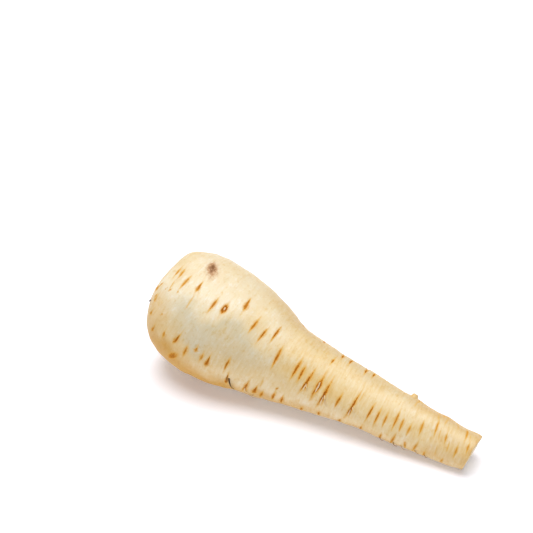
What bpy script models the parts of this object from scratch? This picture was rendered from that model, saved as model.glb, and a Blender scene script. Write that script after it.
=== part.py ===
"""A parsnip: one broad-shouldered root lying on its side, with the cut leaf stalks left in its crown.

The root lies along +X, crown at -X and cut tail at +X, and rests on z = 0 on a small flat under its head
and another under its tail. The origin is the centre of the box around it, at the level of the surface.
Distances along the root are measured from the crown's rim. Turns round it are in degrees from straight up,
positive towards the front (-Y).
"""

import math
import random

import bmesh
import bpy
import numpy as np
from mathutils import Matrix

MM = 0.001

# The root's size, and how square its shoulder is (2 is a quarter of an ellipse).
LENGTH = 212 * MM
HEAD_RADIUS = 36.5 * MM
WIDEST_AT = 36 * MM
RIM_RADIUS = 15 * MM
SHOULDER_SQUARENESS = 2.9

# Outline beyond the widest place: distance, radius.
TAPER = (
    (36 * MM, 36.5 * MM),
    (54 * MM, 34.0 * MM),
    (72 * MM, 29.0 * MM),
    (90 * MM, 23.8 * MM),
    (110 * MM, 20.6 * MM),
    (138 * MM, 17.3 * MM),
    (170 * MM, 14.6 * MM),
    (212 * MM, 11.8 * MM),
)

# The head stands out of line with the tail: distance, how far the root's middle is off the tail's own line
# towards BEND_TURN.
BEND = (
    (0 * MM, 10.0 * MM),
    (20 * MM, 7.2 * MM),
    (45 * MM, 4.2 * MM),
    (63 * MM, 2.8 * MM),
    (80 * MM, 0.7 * MM),
    (100 * MM, 0.0 * MM),
    (150 * MM, 0.2 * MM),
    (212 * MM, 0.0 * MM),
)
BEND_TURN = -46.0

# Sunken crown, from near the middle of its floor to its rim: depth below the rim, radius.
CROWN = (
    (5.6 * MM, 6.0 * MM),
    (5.4 * MM, 12.0 * MM),
    (3.6 * MM, 13.2 * MM),
    (1.4 * MM, 13.7 * MM),
    (0.3 * MM, 14.2 * MM),
)

# Cut tail: the knife went askew, so the cut slopes towards the bend and across it. Then the rows of its
# face: share of the root's radius there, height above the edge. The woody core stands a little proud.
CUT_SLOPE = 0.17
CUT_SLOPE_ACROSS = 0.23
CUT_FADE = 40 * MM
CUT_FACE = (
    (0.95, 0.25 * MM),
    (0.55, 0.25 * MM),
    (0.49, 0.60 * MM),
)

# Mesh: steps round the root, length of a step along its outline, and of the finer one that measures it.
AROUND = 48
STEP = 2.1 * MM
MEASURING_STEP = 0.2 * MM

# Scars of snapped side roots on the front and the top, in the ranks they grew in: (mm from the rim, turn,
# size).
UPPER_FRONT_SCARS = (
    (9, 23, 0.5), (12, 23, 0.6), (18, 29, 0.8), (27, 25, 0.7), (41, 33, 0.8), (48, 30, 0.9), (57, 12, 0.9),
    (67, 27, 0.8), (74, 30, 0.9), (80, 18, 1.0), (88, 45, 1.2), (101, 48, 1.2), (105, 50, 0.9),
    (110, 58, 1.2), (117, 58, 1.4), (122, 67, 1.4), (131, 69, 0.8), (140, 67, 1.3), (151, 65, 1.0),
    (156, 68, 0.9), (161, 67, 0.7), (167, 57, 1.0), (171, 62, 0.7), (176, 66, 0.6), (182, 47, 0.8),
    (189, 29, 0.9), (196, 43, 0.5), (204, 64, 0.8), (209, 41, 0.5),
)
LOWER_FRONT_SCARS = (
    (4, 50, 0.4), (7, 60, 0.4), (8, 76, 0.5), (13, 90, 0.7), (22, 84, 0.5), (31, 80, 0.9), (38, 89, 0.8),
    (44, 80, 0.4), (48, 86, 0.5), (52, 87, 0.9), (64, 84, 0.9), (66, 105, 1.1), (77, 110, 1.0),
    (82, 108, 0.9), (85, 117, 0.7), (92, 112, 0.8), (97, 117, 0.9), (109, 126, 0.6), (120, 122, 0.6),
    (133, 124, 0.7), (147, 120, 0.8), (160, 118, 0.8), (168, 112, 1.1), (176, 112, 0.7), (182, 106, 0.8),
    (188, 118, 0.6), (199, 116, 0.5),
)
TOP_SCARS = (
    (103, -41, 0.6), (117, 2, 0.5), (119, -28, 1.0), (125, -26, 1.0), (136, -23, 1.0), (141, -27, 0.9),
    (204, 1, 1.1),
)
FRONT_RANKS = (UPPER_FRONT_SCARS, LOWER_FRONT_SCARS, TOP_SCARS)

# The two ranks behind are spaced by rule: turn at the rim and at the tail, where scars begin and end.
BACK_RANKS = (
    (-68.0, -58.0, 10 * MM, 200 * MM),
    (-140.0, -122.0, 6 * MM, 204 * MM),
)
SCAR_SPACING = (4 * MM, 9 * MM)
SCAR_TURN_SPREAD = 8.0
SCAR_SIZES = (0.5, 1.2)
SCAR_HALF_LENGTH = 4.6 * MM
SCAR_LEVEL_SHARE = 0.15
SCAR_DEPTH = 0.75 * MM
SCAR_SEED = 11

# Furrows in the neck and tail, where the ranks lie: turn at the rim and at the tail.
FURROWS = ((18.0, 52.0), (84.0, 128.0), (-52.0, -24.0), (-140.0, -122.0))
FURROW_DEPTH = 0.7 * MM
FURROW_HALF_TURN = 24.0
FURROW_BEGINS = (40 * MM, 110 * MM)

# Slow swells of the skin: height, lobes round the root, degrees of twist per metre, first lobe's turn.
SWELLS = (
    (0.5 * MM, 2, 1780.0, 90.0),
    (0.3 * MM, 3, -3270.0, 147.0),
)

# Fuller and hollower places: length along the outline from the rim, turn, height, half width.
LUMPS = (
    (14 * MM, -14.0, 2.0 * MM, 10 * MM),
    (40 * MM, 128.0, 1.8 * MM, 18 * MM),
    (46 * MM, -45.0, -0.7 * MM, 14 * MM),
    (212 * MM, -50.0, 0.6 * MM, 9 * MM),
)

# Creases round the root, of two lengths that don't match: height, length from one to the next. They waver
# twice round the root.
CREASES = (
    (0.10 * MM, 9.3 * MM),
    (0.08 * MM, 14.7 * MM),
)
CREASE_WANDER = 0.8
CREASE_WANDER_TURN = 20.0

# The skin's relief grows from nothing at the rim to its full height here.
RELIEF_BEGINS = 8 * MM

# Stubs of snapped side roots: distance, turn, height, radius at the foot.
STUBS = (
    (167 * MM, -46.0, 2.4 * MM, 3.8 * MM),
    (128 * MM, -117.0, 1.8 * MM, 3.4 * MM),
    (96 * MM, -150.0, 1.6 * MM, 3.6 * MM),
)
STUB_SLOPE = 0.6

# How deep the two resting places are pressed flat.
FLAT_DEPTH = 0.5 * MM
STEEPEST_LEAN = 20.0
LEAN_HALVINGS = 40

# Leaf stalks, cut off short: a floor disc that flares a little, and rings of curved stalk bases on it.
STALK_GAP = 0.35 * MM
STALK_FLOOR_THICKNESS = 2.4 * MM
STALK_FLOOR_FLARE = 0.9 * MM
STALK_FLOOR_SIDES = 32
STALK_RINGS = (
    # count, middle radius, thickness, share of the ring that one spans, height above the floor disc
    (5, 10.9 * MM, 2.9 * MM, 0.22, 2.7 * MM),
    (5, 7.4 * MM, 2.5 * MM, 0.23, 3.1 * MM),
    (4, 4.3 * MM, 2.1 * MM, 0.27, 3.7 * MM),
    (2, 1.5 * MM, 1.6 * MM, 0.42, 4.4 * MM),
)
STALK_RING_OFFSET = 0.31
STALK_TURN_SPREAD = 0.12
STALK_HEIGHT_SPREAD = 0.5 * MM
STALK_SUNK = 1.2 * MM
STALK_END_SHARE = 0.35
STALK_TOP_SHARE = 0.8
STALK_TOP_SLANT = 0.25 * MM
STALK_STEPS = 6
STALK_SEED = 5

SKIN_COLOUR = (0.80, 0.66, 0.42, 1.0)
SKIN_ROUGHNESS = 0.5
STALK_COLOUR = (0.52, 0.46, 0.20, 1.0)
STALK_ROUGHNESS = 0.6


def smooth_curve(points, at):
    """Values at distances `at` on a smooth curve through (distance, value) points."""
    x, y = np.array(points).T
    slope = np.gradient(y, x)
    i = np.clip(np.searchsorted(x, at) - 1, 0, len(x) - 2)
    step = x[i + 1] - x[i]
    t = np.clip((at - x[i]) / step, 0, 1)
    return (
        y[i] * (1 + 2 * t) * (1 - t) ** 2
        + slope[i] * step * t * (1 - t) ** 2
        + y[i + 1] * t**2 * (3 - 2 * t)
        + slope[i + 1] * step * t**2 * (t - 1)
    )


def smooth_step(low, high, x):
    """0 below low, 1 above high and a smooth rise between."""
    t = np.clip((x - low) / (high - low), 0, 1)
    return t * t * (3 - 2 * t)


def turn_gap(a, b):
    """Smallest difference between turns, in degrees."""
    return np.abs((a - b + 180) % 360 - 180)


def outward(turn):
    """Unit vectors square to +X at the given turns, as rows."""
    a = np.radians(turn)
    return np.stack([np.zeros_like(a), -np.sin(a), np.cos(a)], axis=-1)


def outline():
    """The root's outline from rim to cut, in even steps: distance, radius and length along the outline."""
    fine_steps = round(LENGTH / MEASURING_STEP)
    angle = np.linspace(0, math.pi / 2, fine_steps)
    power = 2 / SHOULDER_SQUARENESS
    along_shoulder = WIDEST_AT * (1 - np.cos(angle) ** power)
    up_shoulder = RIM_RADIUS + (HEAD_RADIUS - RIM_RADIUS) * np.sin(angle) ** power
    along_body = np.linspace(WIDEST_AT, LENGTH, fine_steps)[1:]
    distance = np.concatenate([along_shoulder, along_body])
    radius = np.concatenate([up_shoulder, smooth_curve(TAPER, along_body)])
    length = np.concatenate([[0.0], np.cumsum(np.hypot(np.diff(distance), np.diff(radius)))])
    even = np.linspace(0, length[-1], round(length[-1] / STEP) + 1)
    return np.interp(even, length, distance), np.interp(even, length, radius), even


def scars():
    """(distance, turn, size) of every side-root scar."""
    rng = random.Random(SCAR_SEED)
    found = []
    for rank in FRONT_RANKS:
        found += [(millimetres * MM, turn, size) for millimetres, turn, size in rank]
    for rim_turn, tail_turn, distance, last in BACK_RANKS:
        while distance < last:
            turn = rim_turn + (tail_turn - rim_turn) * distance / LENGTH
            turn += rng.gauss(0, SCAR_TURN_SPREAD)
            found.append((distance, turn, rng.uniform(*SCAR_SIZES)))
            distance += rng.uniform(*SCAR_SPACING)
    return found


def scar_relief(distance, radius, turn):
    """How deep the scars go: each is a slit round the root, on the ring of points nearest to it."""
    out = np.zeros((len(distance), len(turn)))
    for scar_distance, scar_turn, size in scars():
        ring = int(np.argmin(np.abs(distance - scar_distance)))
        half_turn = math.degrees(SCAR_HALF_LENGTH * size / radius[ring])
        away = turn_gap(turn, scar_turn) / max(half_turn, 360 / AROUND)
        out[ring] -= SCAR_DEPTH * size * np.clip(1 + SCAR_LEVEL_SHARE - away, 0, 1)
    return out


def skin_relief(distance, radius, length, turn):
    """Height of the swells, furrows, lumps and creases over the plain outline."""
    d = distance[:, None]
    out = np.zeros((len(distance), len(turn)))
    for height, lobes, twist, first in SWELLS:
        out += height * np.cos(np.radians(lobes * turn + twist * d - first))
    sunk = smooth_step(*FURROW_BEGINS, d)
    for rim_turn, tail_turn in FURROWS:
        away = turn_gap(turn, rim_turn + (tail_turn - rim_turn) * d / LENGTH) / FURROW_HALF_TURN
        out -= FURROW_DEPTH * sunk * np.exp(-(away**2))
    for at, lump_turn, height, half_width in LUMPS:
        around = np.radians(turn_gap(turn, lump_turn)) * radius[:, None]
        away = np.hypot(length[:, None] - at, around) / half_width
        out += height * np.exp(-(away**2))
    wander = CREASE_WANDER * np.sin(np.radians(2 * (turn + CREASE_WANDER_TURN)))
    for height, spacing in CREASES:
        out += height * np.sin(2 * math.pi * length[:, None] / spacing + wander)
    return out


def stub_relief(distance, radius, turn):
    """Height of the snapped side roots: flat-topped, steep-sided."""
    out = np.zeros((len(distance), len(turn)))
    for at, stub_turn, height, foot in STUBS:
        around = np.radians(turn_gap(turn, stub_turn)) * radius[:, None]
        away = np.hypot(distance[:, None] - at, around) / foot
        out += height * smooth_step(0, STUB_SLOPE, 1 - away)
    return out


def middle_and_along(distance):
    """The root's middle at a distance, and its direction there."""
    side = outward(np.array(BEND_TURN))
    off = float(smooth_curve(BEND, distance))
    rise = float(smooth_curve(BEND, distance + MM) - smooth_curve(BEND, distance - MM)) / (2 * MM)
    along = np.array((1.0, 0.0, 0.0)) + rise * side
    return np.array((distance, 0.0, 0.0)) + off * side, along / np.linalg.norm(along)


def ring(distance, radius, turn, depth=0.0):
    """Points of a circle round the root's middle, moved by depth along the root."""
    middle, along = middle_and_along(distance)
    spokes = outward(turn)
    spokes -= np.outer(spokes @ along, along)
    spokes /= np.linalg.norm(spokes, axis=1)[:, None]
    spokes *= radius
    askew = smooth_step(LENGTH - CUT_FADE, LENGTH, distance)
    slant = CUT_SLOPE * (spokes @ outward(np.array(BEND_TURN)))
    slant += CUT_SLOPE_ACROSS * (spokes @ outward(np.array(BEND_TURN + 90)))
    return middle + spokes + along * depth + np.outer(askew * slant, (1.0, 0.0, 0.0))


def skin_rings():
    """The skin's rings from rim to cut, each point moved along the skin's normal by its relief."""
    turn = np.arange(AROUND) * 360 / AROUND
    distance, radius, length = outline()
    plain = np.array([ring(d, r, turn) for d, r in zip(distance, radius)])
    along = np.gradient(plain, axis=0)
    around = np.roll(plain, -1, axis=1) - np.roll(plain, 1, axis=1)
    normal = np.cross(around, along)
    normal /= np.linalg.norm(normal, axis=2)[..., None]
    height = skin_relief(distance, radius, length, turn) + scar_relief(distance, radius, turn)
    height *= smooth_step(0, RELIEF_BEGINS, length)[:, None]
    height += stub_relief(distance, radius, turn)
    return list(plain + normal * height[..., None])


def root_rings():
    """All rings of the root, from the floor of the crown, over the rim and the skin, to the cut face."""
    turn = np.arange(AROUND) * 360 / AROUND
    crown = [ring(0.0, radius, turn, depth) for depth, radius in CROWN]
    skin = skin_rings()
    edge = skin[-1]
    middle = edge.mean(axis=0)
    _, along = middle_and_along(LENGTH)
    cut = [middle + (edge - middle) * share + along * height for share, height in CUT_FACE]
    return crown + skin + cut


def material(name, colour, roughness):
    """A plain surface of one colour."""
    made = bpy.data.materials.new(name)
    made.use_nodes = True
    shader = made.node_tree.nodes["Principled BSDF"]
    shader.inputs["Base Color"].default_value = colour
    shader.inputs["Roughness"].default_value = roughness
    shader.inputs["Metallic"].default_value = 0.0
    return made


def new_object(name, mesh, surface):
    """An object in the scene with one material."""
    made = bpy.data.objects.new(name, mesh)
    bpy.context.scene.collection.objects.link(made)
    mesh.materials.append(surface)
    return made


def new_mesh(name, bm):
    """A mesh from finished bmesh work, faces pointing out."""
    bmesh.ops.recalc_face_normals(bm, faces=bm.faces)
    mesh = bpy.data.meshes.new(name)
    bm.to_mesh(mesh)
    bm.free()
    return mesh


def build_root(surface):
    """The root, not yet laid down: rings joined by quads, with a point in the middle of each end."""
    bm = bmesh.new()
    loops = [[bm.verts.new(p) for p in points] for points in root_rings()]
    for loop, after in zip(loops, loops[1:]):
        for i in range(AROUND):
            j = (i + 1) % AROUND
            bm.faces.new((loop[i], loop[j], after[j], after[i]))
    for loop in (loops[0], loops[-1]):
        tip = bm.verts.new(sum((v.co for v in loop), start=loop[0].co * 0) / AROUND)
        for i in range(AROUND):
            bm.faces.new((loop[i], loop[(i + 1) % AROUND], tip))
    mesh = new_mesh("root", bm)
    mesh.shade_smooth()
    return new_object("root", mesh, surface)


def stalk_base(radius, thickness, turn, span, height):
    """A mesh of one curved stalk base, a crescent in plan that narrows to its cut top. Its floor is z = 0."""
    bm = bmesh.new()
    columns = []
    for step in range(STALK_STEPS + 1):
        along = step / STALK_STEPS
        angle = turn + (along - 0.5) * span
        half = thickness / 2 * (STALK_END_SHARE + (1 - STALK_END_SHARE) * math.sin(math.pi * along))
        top = height + STALK_TOP_SLANT * math.cos(angle * 2)
        corners = []
        for z, share in ((-STALK_SUNK, 1.0), (top, STALK_TOP_SHARE)):
            for side in (-half, half):
                out = radius + side * share
                corners.append(bm.verts.new((out * math.cos(angle), out * math.sin(angle), z)))
        columns.append(corners)
    for (a, b, c, d), (e, f, g, h) in zip(columns, columns[1:]):
        for face in ((a, b, f, e), (c, g, h, d), (a, e, g, c), (b, d, h, f)):
            bm.faces.new(face)
    for a, b, c, d in (columns[0], columns[-1]):
        bm.faces.new((a, b, d, c))
    return new_mesh("stalk_base", bm)


def stalk_base_collection():
    """A collection with one object for each stalk base."""
    rng = random.Random(STALK_SEED)
    collection = bpy.data.collections.new("stalk_bases_to_join")
    bpy.context.scene.collection.children.link(collection)
    for row, (count, radius, thickness, share, height) in enumerate(STALK_RINGS):
        for index in range(count):
            turn = 2 * math.pi * (index / count + STALK_RING_OFFSET * row)
            turn += rng.uniform(-STALK_TURN_SPREAD, STALK_TURN_SPREAD)
            tall = height + rng.uniform(-STALK_HEIGHT_SPREAD, STALK_HEIGHT_SPREAD)
            mesh = stalk_base(radius, thickness, turn, 2 * math.pi * share, tall)
            collection.objects.link(bpy.data.objects.new("stalk_base", mesh))
    return collection


def join_collection(piece, collection):
    """Joins a collection's objects into a piece with one union, and removes them."""
    join = piece.modifiers.new("join", "BOOLEAN")
    join.operand_type = "COLLECTION"
    join.collection = collection
    join.operation = "UNION"
    join.solver = "EXACT"
    bpy.context.view_layer.update()
    joined = bpy.data.meshes.new_from_object(piece.evaluated_get(bpy.context.evaluated_depsgraph_get()))
    piece.modifiers.clear()
    piece.data = joined
    for used in list(collection.objects):
        bpy.data.objects.remove(used)
    bpy.data.collections.remove(collection)


def build_leaf_stalks(surface):
    """The cut leaf stalks, not yet laid down: joined on one disc that fills the floor of the crown."""
    depth, radius = CROWN[1]
    radius -= STALK_GAP
    bm = bmesh.new()
    bmesh.ops.create_cone(
        bm,
        cap_ends=True,
        segments=STALK_FLOOR_SIDES,
        radius1=radius,
        radius2=radius + STALK_FLOOR_FLARE,
        depth=STALK_FLOOR_THICKNESS,
    )
    bmesh.ops.translate(bm, verts=bm.verts, vec=(0, 0, -STALK_FLOOR_THICKNESS / 2))
    stalks = new_object("leaf_stalk_bases", new_mesh("leaf_stalk_bases", bm), surface)
    join_collection(stalks, stalk_base_collection())
    middle, along = middle_and_along(0.0)
    across = np.cross(-along, (0.0, 1.0, 0.0))
    across /= np.linalg.norm(across)
    facing_out = Matrix(np.array((across, np.cross(-along, across), -along)).T.tolist()).to_4x4()
    floor_top = middle + along * (depth - STALK_GAP - STALK_FLOOR_THICKNESS)
    stalks.data.transform(Matrix.Translation(floor_top) @ facing_out)
    return stalks


def points_of(piece):
    """A piece's points, as rows."""
    points = np.empty(len(piece.data.vertices) * 3)
    piece.data.vertices.foreach_get("co", points)
    return points.reshape(-1, 3)


def levelling_lean(points):
    """The lean, in radians, at which the head and the tail are equally low."""
    head = points[points[:, 0] < LENGTH / 2]
    tail = points[points[:, 0] >= LENGTH / 2]
    low, high = 0.0, math.radians(STEEPEST_LEAN)
    for _ in range(LEAN_HALVINGS):
        lean = (low + high) / 2
        up = np.array((-math.sin(lean), 0.0, math.cos(lean)))
        if (head @ up).min() < (tail @ up).min():
            low = lean
        else:
            high = lean
    return lean


def lay_down(root, stalks):
    """Lays both pieces on z = 0, centred over the origin, and presses the root's lowest places flat."""
    lean = Matrix.Rotation(levelling_lean(points_of(root)), 4, "Y")
    for piece in (root, stalks):
        piece.data.transform(lean)
    points = np.concatenate([points_of(root), points_of(stalks)])
    centre = (points.min(axis=0) + points.max(axis=0)) / 2
    bottom = points[:, 2].min() + FLAT_DEPTH
    for piece in (root, stalks):
        piece.data.transform(Matrix.Translation((-centre[0], -centre[1], -bottom)))
    for vertex in root.data.vertices:
        vertex.co.z = max(vertex.co.z, 0.0)


def main():
    """Clears the scene and builds the two pieces."""
    for old in list(bpy.data.objects):
        bpy.data.objects.remove(old)
    root = build_root(material("parsnip_skin", SKIN_COLOUR, SKIN_ROUGHNESS))
    stalks = build_leaf_stalks(material("leaf_stalk", STALK_COLOUR, STALK_ROUGHNESS))
    lay_down(root, stalks)


main()
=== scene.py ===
"""The looks of a parsnip on its side: its skin, scars and rootlets, its cut tail and its cut leaf stalks.

Lengths are in metres, those in tables in millimetres. Distances along the root run from the crown's rim.
Turns round it are in degrees from straight up, positive towards the front (-Y). In the finishes a noise is
(scale, detail, roughness), a bump (strength, depth), a share that has two numbers (slope, start), and what
rises or begins somewhere (from, to) or (from, to, top).
"""

import logging
import math
import random
from dataclasses import dataclass
from enum import Enum

import bpy
import numpy as np
from mathutils import Matrix, Vector, noise


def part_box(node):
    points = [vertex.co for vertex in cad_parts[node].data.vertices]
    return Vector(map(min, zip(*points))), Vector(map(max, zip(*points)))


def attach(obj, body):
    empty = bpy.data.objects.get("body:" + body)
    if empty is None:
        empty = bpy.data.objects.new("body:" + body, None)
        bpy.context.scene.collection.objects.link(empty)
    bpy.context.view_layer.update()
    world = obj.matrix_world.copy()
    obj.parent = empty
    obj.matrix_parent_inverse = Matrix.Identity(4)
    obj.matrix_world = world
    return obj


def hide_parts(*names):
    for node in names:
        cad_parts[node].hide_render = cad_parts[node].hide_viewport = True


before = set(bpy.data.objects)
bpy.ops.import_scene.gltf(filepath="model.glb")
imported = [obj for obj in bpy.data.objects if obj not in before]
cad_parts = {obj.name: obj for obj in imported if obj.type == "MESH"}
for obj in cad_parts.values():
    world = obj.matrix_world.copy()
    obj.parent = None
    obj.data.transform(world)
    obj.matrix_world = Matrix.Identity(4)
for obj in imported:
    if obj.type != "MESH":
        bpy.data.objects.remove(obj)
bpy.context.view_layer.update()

MM = 0.001
BODY = "root"
MERGE_WITHIN = 1e-6
NO_SLIT = -3.0  # what the slit mark holds away from every scar
NEARLY = 0.999  # the farthest into a row of faces that a point is looked up

Socket = bpy.types.NodeSocket
Colour = Direction = tuple[float, float, float]
Span = tuple[float, float]
Row = Settings = tuple[float, ...]
Curve = tuple[Span, ...]
Table = tuple[Row, ...]
Array = np.ndarray
Piece = bpy.types.Object


class Mark(Enum):
    """Names of the values that the pieces' points hold."""

    RING = "ring_place"
    SLIT = "slit"
    DARK = "darkness"
    STREAK = "streak"
    STUB = "stub"
    BRUISE = "bruise"
    PALE_AND_HIGHLIGHT = "pale_and_painted_highlight_zone"
    GREY = "grey_zone"
    TAN_AND_SHADE = "tan_and_painted_shade_zone"
    OCHRE = "ochre_zone"
    PAINTED_RECESS_SHADE = "painted_recess_shade"
    CUT = "cut_face"
    CORE = "out_from_core"
    RAY = "ray"
    TOP = "stalk_top"
    AGE = "age"


def smooth_line(x: Array, y: Array, at: Array) -> Array:
    """Reads a smooth line through a few points.

    Args:
        x: The points' places.
        y: Their values.
        at: The places to read the line at.

    Returns:
        The values there.
    """
    slope = np.gradient(y, x)
    i = np.clip(np.searchsorted(x, at) - 1, 0, len(x) - 2)
    step = x[i + 1] - x[i]
    t = np.clip((at - x[i]) / step, 0, 1)
    return (
        y[i] * (1 + 2 * t) * (1 - t) ** 2
        + slope[i] * step * t * (1 - t) ** 2
        + y[i + 1] * t**2 * (3 - 2 * t)
        + slope[i + 1] * step * t**2 * (t - 1)
    )


def smooth_curve(points: Curve, at: Array) -> Array:
    """Reads a smooth line through a table's points (mm, value) at the given distances."""
    x, y = np.array(points).T
    return smooth_line(x * MM, y, at)


def run_length(x: Array, y: Array) -> Array:
    """How far along a line of points each one is."""
    return np.concatenate([[0.0], np.cumsum(np.hypot(np.diff(x), np.diff(y)))])


def smooth_step(low: float, high: float, x: Array) -> Array:
    """0 below low, 1 above high and a smooth rise between."""
    t = np.clip((x - low) / (high - low), 0, 1)
    return t * t * (3 - 2 * t)


def bell(x: Array) -> Array:
    """1 at 0, falling smoothly to 0 on both sides."""
    return np.exp(-(x**2))


def turn_gap(a: Array, b: Array) -> Array:
    """Difference between turns, in degrees from -180 to 180."""
    return (a - b + 180) % 360 - 180


def outward(turn: Array) -> Array:
    """Unit vectors square to +X at the given turns, as rows."""
    a = np.radians(turn)
    return np.stack([np.zeros_like(a), -np.sin(a), np.cos(a)], axis=-1)


def cloud_noise(points: Array, size: float, octaves: int = 2) -> Array:
    """Even, lump-shaped noise at points in space.

    Args:
        points: The points, with x, y and z on the last axis.
        size: How wide a lump is.
        octaves: How many finer layers lie in it.

    Returns:
        A value for each point, mostly between -0.6 and 0.6.
    """
    flat = (points / size).reshape(-1, 3)
    found = [noise.fractal(Vector(p), 1.0, 2.0, octaves) for p in flat]
    return np.array(found).reshape(points.shape[:-1])


def deselect_all() -> None:
    """Leaves object mode with nothing selected."""
    if bpy.context.mode != "OBJECT":
        bpy.ops.object.mode_set(mode="OBJECT")
    bpy.ops.object.select_all(action="DESELECT")


def points_of(mesh: bpy.types.Mesh) -> Array:
    """A mesh's points, as rows.

    Args:
        mesh: The mesh.

    Returns:
        Its points.
    """
    points = np.empty(len(mesh.vertices) * 3)
    mesh.vertices.foreach_get("co", points)
    return points.reshape(-1, 3)


def move_points(mesh: bpy.types.Mesh, points: Array) -> None:
    """Puts a mesh's points where the rows say."""
    mesh.vertices.foreach_set("co", points.astype(np.float32).ravel())
    mesh.update()


def write_marks(mesh: bpy.types.Mesh, mark: Mark, values: Array) -> None:
    """Keeps a value for each point of a mesh, for a finish to read."""
    layer = mesh.attributes.new(mark.value, "FLOAT", "POINT")
    layer.data.foreach_set("value", values.astype(np.float32).ravel())


def join(pieces: list[Piece], name: str) -> Piece:
    """Joins pieces into one object.

    Args:
        pieces: The pieces.
        name: The name of the one that they become.

    Returns:
        The object.
    """
    deselect_all()
    for piece in pieces:
        piece.select_set(True)
    bpy.context.view_layer.objects.active = pieces[0]
    bpy.ops.object.join()
    pieces[0].name = pieces[0].data.name = name
    return pieces[0]


def wrap_grid(rings: Array) -> tuple[Piece, Array, Array]:
    """A grid wrapped over rings of points, its long edges not yet joined.

    Args:
        rings: The points, a row for each ring.

    Returns:
        The piece, and the row and the column of each of its points.
    """
    rows, around = rings.shape[0] - 1, rings.shape[1]
    deselect_all()
    bpy.ops.mesh.primitive_grid_add(x_subdivisions=rows, y_subdivisions=around, size=1)
    piece = bpy.context.object
    flat = points_of(piece.data)
    row = np.rint((flat[:, 0] + 0.5) * rows).astype(int)
    column = np.rint((flat[:, 1] + 0.5) * around).astype(int) % around
    move_points(piece.data, rings[row, column])
    return piece, row, column


def close_grid(piece: Piece) -> None:
    """Joins a wrapped grid's two long edges, closes its ends and turns its faces outwards.

    Args:
        piece: The wrapped grid.
    """
    bpy.context.view_layer.objects.active = piece
    bpy.ops.object.mode_set(mode="EDIT")
    bpy.ops.mesh.select_all(action="SELECT")
    bpy.ops.mesh.remove_doubles(threshold=MERGE_WITHIN)
    bpy.ops.mesh.select_all(action="DESELECT")
    bpy.ops.mesh.select_mode(type="EDGE")
    bpy.ops.mesh.select_non_manifold()
    bpy.ops.mesh.fill_holes(sides=0)
    bpy.ops.mesh.select_mode(type="FACE")
    bpy.ops.mesh.select_all(action="DESELECT")
    bpy.ops.object.mode_set(mode="OBJECT")
    for face in piece.data.polygons:
        face.select = len(face.vertices) > 4
    bpy.ops.object.mode_set(mode="EDIT")
    bpy.ops.mesh.poke()
    bpy.ops.mesh.select_all(action="SELECT")
    bpy.ops.mesh.normals_make_consistent(inside=False)
    bpy.ops.object.mode_set(mode="OBJECT")


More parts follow.
